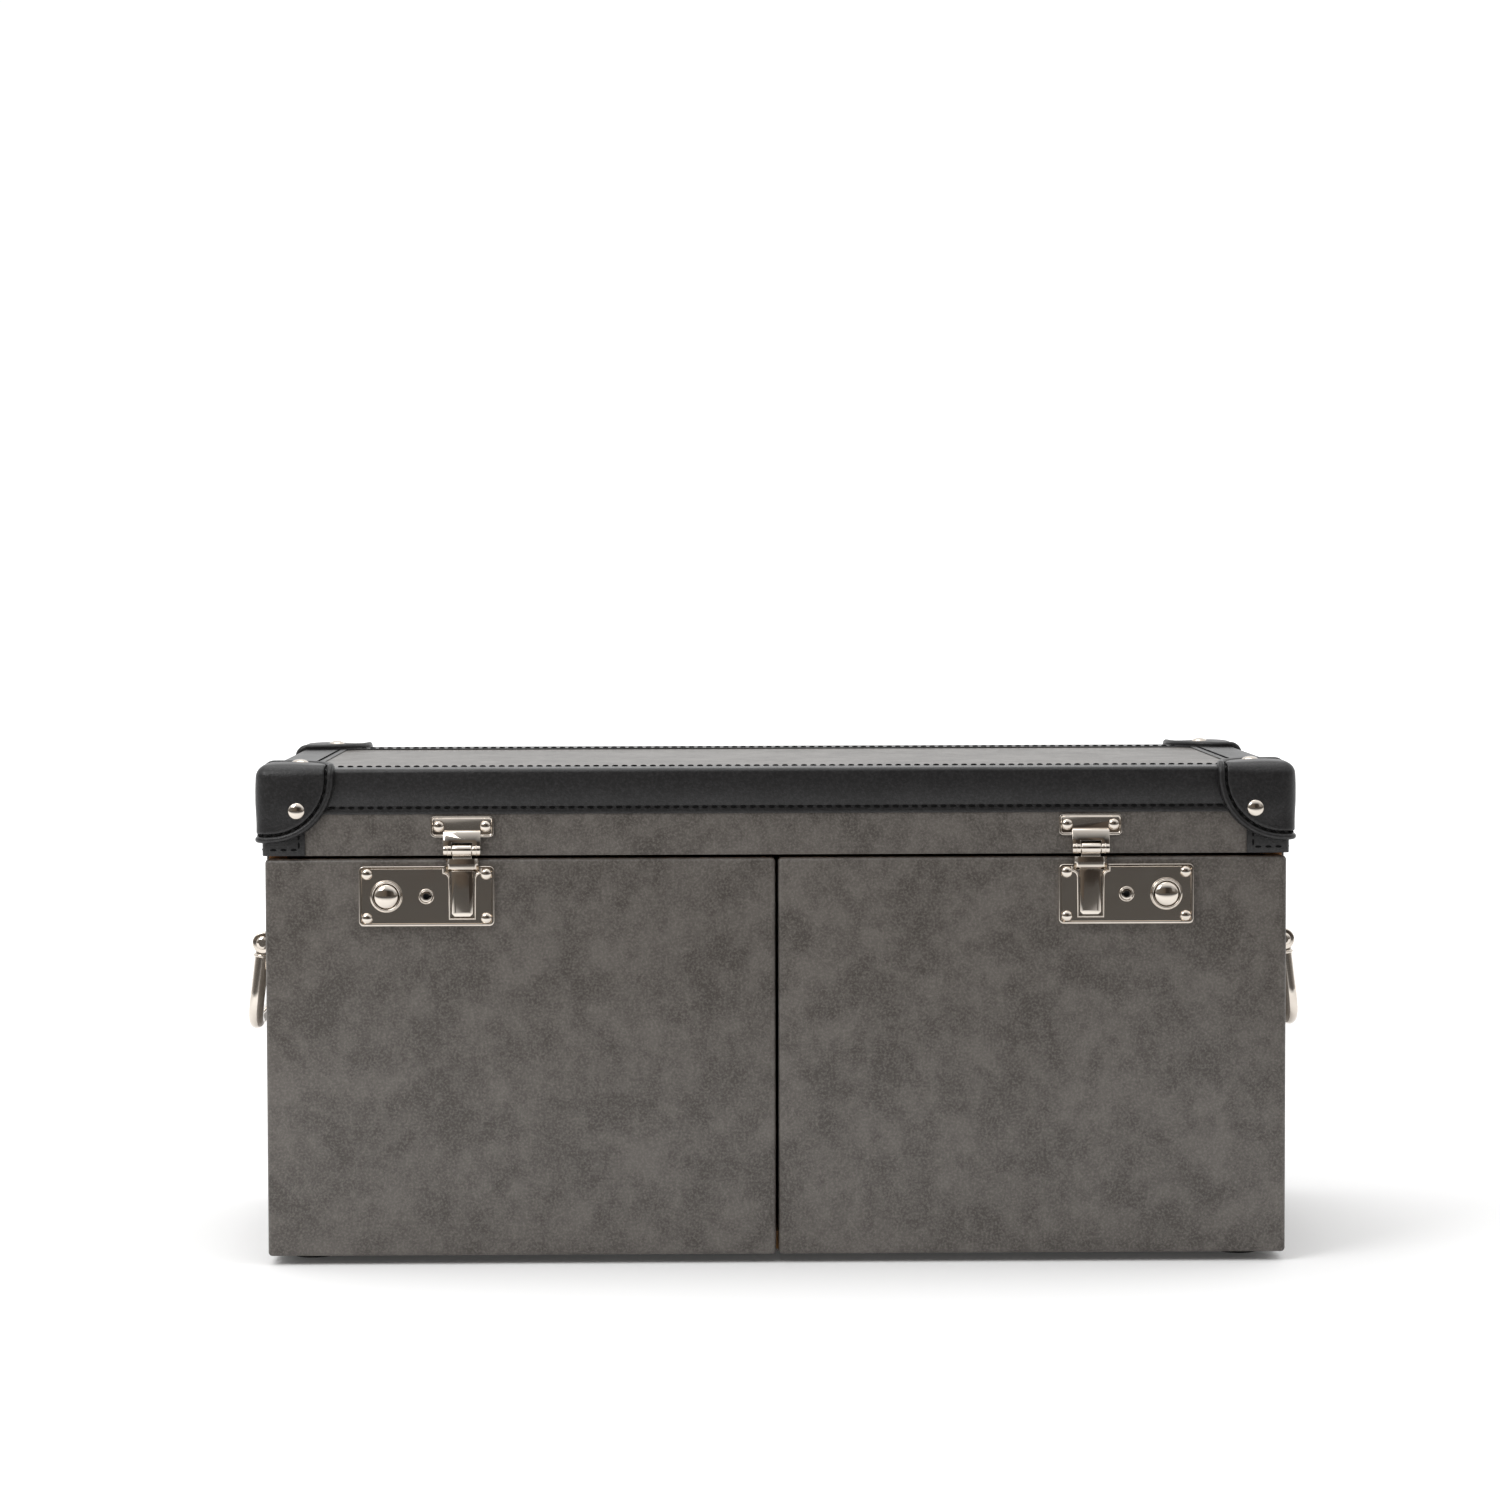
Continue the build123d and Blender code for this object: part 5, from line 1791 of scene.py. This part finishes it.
@dataclass
class BailHandle:
    """A hanging bail with its two brackets, pins and screws on one side of the case."""

    finishes: Finishes
    rod: float = 4.2 * MM
    eye: float = 6.0 * MM
    eye_wide: float = 9.0 * MM
    collar_drop: float = 7.6 * MM
    collar: float = 0.95 * MM
    bend: float = 20 * MM
    tilt: float = math.radians(7)
    pin_room: float = 2.05 * MM
    hole: float = 2.0 * MM
    shaft: float = 1.98 * MM
    pin_head: tuple[float, float] = (3.8 * MM, 1.6 * MM)
    plate_thick: float = 2 * MM
    plate_corner: float = 4 * MM
    ear_half: float = 2.5 * MM
    ear_round: float = 5 * MM
    screw_head: tuple[float, float] = (1.6 * MM, 3 * MM)
    screw_slot: tuple[float, float] = (0.7 * MM, 0.4 * MM)
    screw_shank: tuple[float, float] = (1.1 * MM, 6 * MM)

    def build(self) -> None:
        """Model the right-hand bail and brackets and mirror them to the left."""
        right = self.bail()
        left = Bench.twin("bail_left_polished", right)
        for side, piece in ((Side.RIGHT, right), (Side.LEFT, left)):
            name = f"bail_{side.word}"
            Bench.finish(piece, name, self.finishes.nickel, "polished_nickel", [name], angle=50)
        for node, model in (
            ("handle_brackets", self.bracket),
            ("handle_pins", self.pin),
            ("handle_screws", self.screw),
        ):
            piece = Bench.join(f"{node}_polished", [model(box) for box in islands(node)])
            Bench.finish(piece, "case", self.finishes.nickel, "polished_nickel", [node])

    def bail(self) -> bpy.types.Object:
        """Model the bail: a bent rod between two eyes, with a collar under each eye.

        Returns:
            The right-hand bail.
        """
        box = extent("bail_right")
        pin = next(pin.centre for pin in islands("handle_pins") if pin.centre.x > 0)
        half = box.hi.y - self.eye_wide / 2
        drop = (pin.z - box.lo.z - self.rod) / math.cos(self.tilt)
        bend = self.bend
        down = Vector((math.sin(self.tilt), 0, -math.cos(self.tilt)))
        top = [Vector((pin.x, sign * half, pin.z)) for sign in (-1, 1)]
        corner = [t + down * drop for t in top]
        run = Vector((0, 1, 0))
        points = [top[0], top[0] + down * (drop - bend * 1.3), top[0] + down * (drop - bend * 0.45),
                  corner[0] + run * bend * 0.45, corner[0] + run * bend * 1.3,
                  corner[1] - run * bend * 1.3, corner[1] - run * bend * 0.45,
                  top[1] + down * (drop - bend * 0.45), top[1] + down * (drop - bend * 1.3), top[1]]
        parts = [Bench.tube("bail_rod", points, self.rod)]
        for at in top:
            eye = Bench.drum("eye", at, run, self.eye, self.eye_wide)
            Bench.ease(eye, 0.7 * MM, 3, 60)
            collar = at + down * self.collar_drop
            parts.append(eye)
            parts.append(Bench.ring("collar", collar, down, self.rod - 0.2 * MM, self.collar))
        bail = Bench.join("bail_right_polished", parts)
        for at in top:
            room = Bench.drum("pin_room", at, run, self.pin_room, self.eye_wide + 5 * MM, sides=24)
            Bench.carve(bail, room)
        return bail

    def bracket(self, box: Extent) -> bpy.types.Object:
        """Model one bracket: a rounded plate and a rounded ear with a hole for the pin.

        Args:
            box: where the bracket is.

        Returns:
            The bracket.
        """
        out = 1 if box.centre.x > 0 else -1
        wall = box.lo.x if out > 0 else box.hi.x
        pin = min(islands("handle_pins"), key=lambda p: (p.centre - box.centre).length).centre
        x0, x1 = sorted((wall, wall + out * self.plate_thick))
        plate = Bench.block("bracket_plate", (x0, box.lo.y, box.lo.z), (x1, box.hi.y, box.hi.z))
        Bench.round_edges(plate, self.plate_corner, 6, lambda m, run: abs(run.x) > 0.5)
        Bench.ease(plate, 0.5 * MM, 3, 50)
        half, radius = self.ear_half, self.ear_round
        x0, x1 = sorted((wall + out * MM, pin.x))
        ear = Bench.block("ear", (x0, box.centre.y - half, pin.z - radius),
                          (x1, box.centre.y + half, pin.z + radius))
        end = Vector((pin.x, box.centre.y, pin.z))
        Bench.carve(ear, Bench.drum("ear_end", end, (0, 1, 0), radius, 2 * half, sides=40), Cut.ADD)
        Bench.carve(ear, Bench.drum("hole", end, (0, 1, 0), self.hole, 12 * MM, sides=24))
        Bench.ease(ear, 0.5 * MM, 3, 50)
        return Bench.join("bracket", [plate, ear])

    def pin(self, box: Extent) -> bpy.types.Object:
        """Model one pin with its domed head at the outer end.

        Args:
            box: where the pin is.

        Returns:
            The pin.
        """
        toward = 1 if box.centre.y > 0 else -1
        end = box.hi.y if toward > 0 else box.lo.y
        shaft = Bench.drum("shaft", box.centre, (0, 1, 0), self.shaft, box.size.y - 0.4 * MM, sides=24)
        radius, high = self.pin_head
        head = Vector((box.centre.x, end - toward * high, box.centre.z))
        return Bench.join("pin", [shaft, Bench.ball("pin_head", head, (radius, high, radius))])

    def screw(self, box: Extent) -> bpy.types.Object:
        """Model one round-headed screw with a straight slot.

        Args:
            box: where the screw is.

        Returns:
            The screw.
        """
        out = 1 if box.centre.x > 0 else -1
        high, radius = self.screw_head
        head = box.hi.x - high if out > 0 else box.lo.x + high
        at = Vector((head, box.centre.y, box.centre.z))
        dome = Bench.ball("screw_head", at, (high, radius, radius))
        tip = at + Vector((out * high, 0, 0))
        deep, half = self.screw_slot
        reach = Vector((deep, radius + 0.2 * MM, half))
        Bench.carve(dome, Bench.block("slot", tip - reach, tip + reach))
        thick, length = self.screw_shank
        middle = at - Vector((out * length / 2, 0, 0))
        shank = Bench.drum("shank", middle, (1, 0, 0), thick, length, sides=16)
        return Bench.join("screw", [dome, shank])


@dataclass
class HingeScrews:
    """Slotted screws that hold the lid hinges and the door hinges."""

    finishes: Finishes
    head: float = 0.6 * MM
    crown: float = 0.35 * MM
    raised: float = 0.2 * MM
    slot: tuple[float, float] = (0.9 * MM, 0.55 * MM)
    first_turn: float = 0.4
    next_turn: float = 1.1

    def build(self) -> None:
        """Model the screws of every hinge leaf."""
        for node, body in (
            ("hinge_screws_case", "case"),
            ("hinge_screws_lid", "lid"),
            ("door_hinge_screws_right", "door_right"),
            ("door_hinge_screws_left", "door_left"),
        ):
            screws = [self.screw(box, turn) for turn, box in enumerate(islands(node))]
            piece = Bench.join(f"{node}_slotted", screws)
            Bench.finish(piece, body, self.finishes.steel, "hinge_steel", [node])

    def screw(self, box: Extent, turn: int) -> bpy.types.Object:
        """Model one countersunk screw, crowned on the back of the trunk and flush at the doors.

        Args:
            box: where the screw is.
            turn: its number, which sets how far its slot is turned.

        Returns:
            The screw.
        """
        seam = extent("door_hinge_pins").centre.y
        at_back = box.centre.y > 0
        toward = 1 if at_back or box.centre.y < seam else -1
        face = box.hi.y if toward > 0 else box.lo.y
        radius = box.size.x / 2
        face += toward * self.raised if at_back else 0.0
        at = Vector((box.centre.x, face - toward * self.head / 2, box.centre.z))
        head = Bench.drum("head", at, (0, 1, 0), radius, self.head, sides=28)
        if at_back:
            crown = Bench.ball("crown", Vector((at.x, face, at.z)), (radius, self.crown, radius))
            Bench.carve(head, crown, Cut.ADD)
        Bench.clear()
        bpy.ops.mesh.primitive_cube_add(
            size=1, location=(at.x, face, at.z), rotation=(0, self.first_turn + turn * self.next_turn, 0))
        bpy.context.object.scale = (2.4 * radius, *self.slot)
        Bench.carve(head, Bench.named("slot"))
        length = box.size.y - self.head
        middle = Vector((at.x, face - toward * (self.head + length / 2), at.z))
        shank = Bench.drum("shank", middle, (0, 1, 0), radius / 2, length, sides=16)
        return Bench.join("screw", [head, shank])


@dataclass
class Feet:
    """Low round feet under the case."""

    finishes: Finishes
    rim: float = 3 * MM
    dish_slope: float = 0.6 * MM
    dish_deep: float = 0.8 * MM
    edge: float = 0.8 * MM

    def build(self) -> bpy.types.Object:
        """Model the feet: a turned pad with an eased foot and a shallow dish beneath.

        Returns:
            The feet, as one piece.
        """
        pads = []
        for box in islands("feet"):
            pad = Bench.drum("foot", box.centre, UP, box.size.x / 2, box.size.z, sides=56)
            with Bench.editing(pad):
                Bench.pick(pad, Element.FACE, lambda m, n: n.z < -0.9)
                bpy.ops.mesh.inset(thickness=self.rim, depth=0)
                bpy.ops.mesh.inset(thickness=self.dish_slope, depth=-self.dish_deep)
            Bench.ease(pad, self.edge, 3, 50)
            pads.append(pad)
        feet = Bench.join("feet_turned", pads)
        return Bench.finish(feet, "case", self.finishes.rubber, "foot_rubber", ["feet"])


# ------------------------------------------------------------------ studio


@dataclass(frozen=True)
class Lamp:
    """A soft square lamp: where it hangs, how wide it is and its power in watts."""

    name: str
    place: tuple[float, float, float]
    size: float
    power: float


@dataclass(frozen=True)
class Studio:
    """Camera, lights and floor."""

    lens: float = 93.05
    distance: float = 2.1179
    aside: float = -0.0413
    height: float = 0.3828
    pitch: float = math.radians(2.832)
    yaw: float = math.radians(-0.727)
    roll: float = math.radians(-0.155)
    near_floor: float = -4.5
    far_floor: float = 9.0
    floor_wide: float = 14
    dim_ends: float = -1.35
    dim_rate: float = 1.5
    dim_tone: Colour = (0.07, 0.066, 0.062)
    pale_tone: Colour = (0.95, 0.95, 0.95)
    glow_starts: float = 0.3
    glow_rate: float = 0.5
    glow_tones: tuple[float, float] = (0.04, 0.45)
    sensor: float = 36
    white_from: tuple[float, float] = (0.40, 0.85)
    dusk: Colour = (0.012, 0.011, 0.010)
    sides: Colour = (0.20, 0.185, 0.17)
    front_tones: tuple[tuple[float, Colour], ...] = (
        (0.38, (0.15, 0.130, 0.11)),
        (0.465, (0.12, 0.098, 0.08)),
        (0.54, (0.045, 0.038, 0.033)),
        (0.60, (0.045, 0.038, 0.033)),
        (0.75, (0.10, 0.088, 0.077)),
    )
    lift: float = 0.95
    strength: float = 1.05
    lamps: tuple[Lamp, ...] = (
        Lamp("key", (-0.85, -1.0, 1.15), 0.7, 7.0),
        Lamp("fill", (1.7, -1.8, 0.9), 0.9, 0.7),
        Lamp("top", (-0.2, 0.2, 2.2), 1.6, 12),
    )
    lit: tuple[float, float, float] = (0, 0, 0.12)

    def build(self) -> None:
        """Set up the whole studio."""
        self.camera()
        self.floor()
        self.sky()
        self.lights()
        bpy.context.scene.view_settings.view_transform = "Standard"

    def camera(self) -> None:
        """Place the camera in front of the doors, slightly above the lid."""
        door = extent("door_leather_right")
        data = bpy.data.cameras.new("camera")
        data.lens, data.sensor_width = self.lens, self.sensor
        camera = bpy.data.objects.new("camera", data)
        bpy.context.scene.collection.objects.link(camera)
        level = Vector((math.cos(self.yaw), math.sin(self.yaw), 0))
        ahead = Vector((-math.sin(self.yaw), math.cos(self.yaw), 0))
        forward = ahead * math.cos(self.pitch) - UP * math.sin(self.pitch)
        upward = level.cross(forward)
        right = level * math.cos(self.roll) + upward * math.sin(self.roll)
        up = right.cross(forward)
        turn = Matrix((right, up, -forward)).transposed().to_4x4()
        spot = Vector((self.aside, door.lo.y - self.distance, door.lo.z + self.height))
        camera.matrix_world = Matrix.Translation(spot) @ turn
        bpy.context.scene.camera = camera

    def floor(self) -> None:
        """Lay a pale floor that darkens in front of the trunk and glows softly far behind it."""
        Bench.clear()
        bpy.ops.mesh.primitive_plane_add(size=1, location=(0, (self.far_floor + self.near_floor) / 2, 0))
        floor = bpy.context.object
        floor.scale = (self.floor_wide, self.far_floor - self.near_floor, 1)
        floor = Bench.named("floor")
        recipe = Recipe("pale_floor")
        split = recipe.nodes.new("ShaderNodeSeparateXYZ")
        recipe.links.new(recipe.place, split.inputs["Vector"])
        away = split.outputs["Y"]
        near = recipe.math("MULTIPLY", recipe.math("ADD", away, -self.dim_ends), self.dim_rate)
        tone = recipe.ramp(near, 0.0, 1.0, self.dim_tone, self.pale_tone)
        far = recipe.math("MULTIPLY", recipe.math("ADD", away, -self.glow_starts), self.glow_rate)
        dull, bright = ((level,) * 3 for level in self.glow_tones)
        glow = recipe.ramp(far, 0.0, 1.0, dull, bright)
        floor.data.materials.append(recipe.done(
            Base_Color=tone, Roughness=0.9, Specular_IOR_Level=0.0,
            Emission_Color=glow, Emission_Strength=1.0))
        floor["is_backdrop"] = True

    def sky(self) -> None:
        """Light the room: white behind and above, dim in front of the doors."""
        world = bpy.data.worlds.new("studio")
        bpy.context.scene.world = world
        world.use_nodes = True
        nodes, links = world.node_tree.nodes, world.node_tree.links
        nodes.clear()
        out = nodes.new("ShaderNodeOutputWorld")
        shade = nodes.new("ShaderNodeBackground")
        place = nodes.new("ShaderNodeTexCoord")
        split = nodes.new("ShaderNodeSeparateXYZ")
        links.new(place.outputs["Generated"], split.inputs["Vector"])
        ramp = nodes.new("ShaderNodeValToRGB")
        stops = ramp.color_ramp.elements
        for stop, where, tone in zip(stops, self.white_from, (self.dusk, (1, 1, 1))):
            stop.position = where
            stop.color = (*tone, 1)
        halved = []
        for axis in ("Y", "X"):
            half = nodes.new("ShaderNodeMath")
            half.operation = "MULTIPLY_ADD"
            half.inputs[1].default_value, half.inputs[2].default_value = 0.5, 0.5
            links.new(split.outputs[axis], half.inputs[0])
            halved.append(half.outputs[0])
        total = nodes.new("ShaderNodeMath")
        total.operation = "MULTIPLY_ADD"
        total.inputs[1].default_value = self.lift
        links.new(split.outputs["Z"], total.inputs[0])
        links.new(halved[0], total.inputs[2])
        links.new(total.outputs[0], ramp.inputs["Fac"])
        across = nodes.new("ShaderNodeValToRGB")
        across.color_ramp.interpolation = "EASE"
        for end in across.color_ramp.elements:
            end.color = (*self.sides, 1)
        for where, tone in self.front_tones:
            stop = across.color_ramp.elements.new(where)
            stop.color = (*tone, 1)
        links.new(halved[1], across.inputs["Fac"])
        lighter = nodes.new("ShaderNodeMix")
        lighter.data_type = "RGBA"
        lighter.blend_type = "LIGHTEN"
        lighter.inputs[MIX_SHARE].default_value = 1.0
        links.new(ramp.outputs["Color"], lighter.inputs[MIX_FIRST])
        links.new(across.outputs["Color"], lighter.inputs[MIX_SECOND])
        links.new(lighter.outputs[MIX_RESULT], shade.inputs["Color"])
        shade.inputs["Strength"].default_value = self.strength
        links.new(shade.outputs["Background"], out.inputs["Surface"])

    def lights(self) -> None:
        """Hang soft area lights: a key from the upper left front, a weak fill and a top light."""
        for lamp in self.lamps:
            data = bpy.data.lights.new(lamp.name, "AREA")
            data.shape, data.size, data.energy = "SQUARE", lamp.size, lamp.power
            hung = bpy.data.objects.new(lamp.name, data)
            bpy.context.scene.collection.objects.link(hung)
            hung.location = lamp.place
            hung.rotation_euler = (Vector(self.lit) - Vector(lamp.place)).to_track_quat("-Z", "Y").to_euler()


def dress_cad(finishes: Finishes) -> None:
    """Give every CAD node its slot's material.

    Args:
        finishes: the finishes of the footlocker.
    """
    slots = {part["node"]: part["material_slot"] for part in frame["record"]["subparts"]}
    for node, piece in frame["nodes"].items():
        piece.data.materials.clear()
        piece.data.materials.append(finishes.for_slot(slots[node]))
        LOG.info("node %s in %s", node, slots[node])


def skins(finishes: Finishes) -> None:
    """Model the grey leather of the case, the lid and the doors.

    Args:
        finishes: the finishes of the footlocker.
    """
    hinge_wrap, rebate, button_port, key_port = 2.6 * MM, 3.4 * MM, 7.8 * MM, 4.1 * MM
    barrels = islands("door_hinge_pins")
    case = Panel("case_leather", "case", open_sides=((2, 1), (1, -1)), soft_axis=2, barrels=barrels)
    case.build(finishes.grey)
    lid = Panel("lid_leather", "lid", soft=1.5 * MM, open_sides=((2, -1),), soft_axis=2)
    lid.build(finishes.grey)
    for side in Side:
        node = f"door_leather_{side.word}"
        shell = extent(node)
        edge = shell.hi.x if side is Side.RIGHT else shell.lo.x
        inner = edge - side.value * hinge_wrap
        outer = edge + side.value * MM
        lo = Vector((min(inner, outer), shell.hi.y - rebate, shell.lo.z - MM))
        hi = Vector((max(inner, outer), shell.hi.y + MM, shell.hi.z + MM))
        button, plug = extent(f"lock_button_{side.word}"), extent(f"key_plug_{side.word}")
        ports = [(button, button_port), (plug, key_port)]
        panel = Panel(node, f"door_{side.word}", open_sides=((1, 1),), reliefs=[Extent(lo, hi)], ports=ports)
        panel.build(finishes.grey)


def main() -> None:
    """Build the footlocker piece by piece."""
    logging.basicConfig(level=logging.INFO, format="%(name)s: %(message)s")
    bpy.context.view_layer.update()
    finishes = Finishes()
    dress_cad(finishes)
    skins(finishes)
    LidTrim(finishes).build()
    Domes("corner_rivets", "lid").build(finishes.nickel)
    Lock(finishes).build()
    Hasp(finishes).build()
    BailHandle(finishes).build()
    HingeScrews(finishes).build()
    Feet(finishes).build()
    Studio().build()


if __name__ == "__main__":
    main()
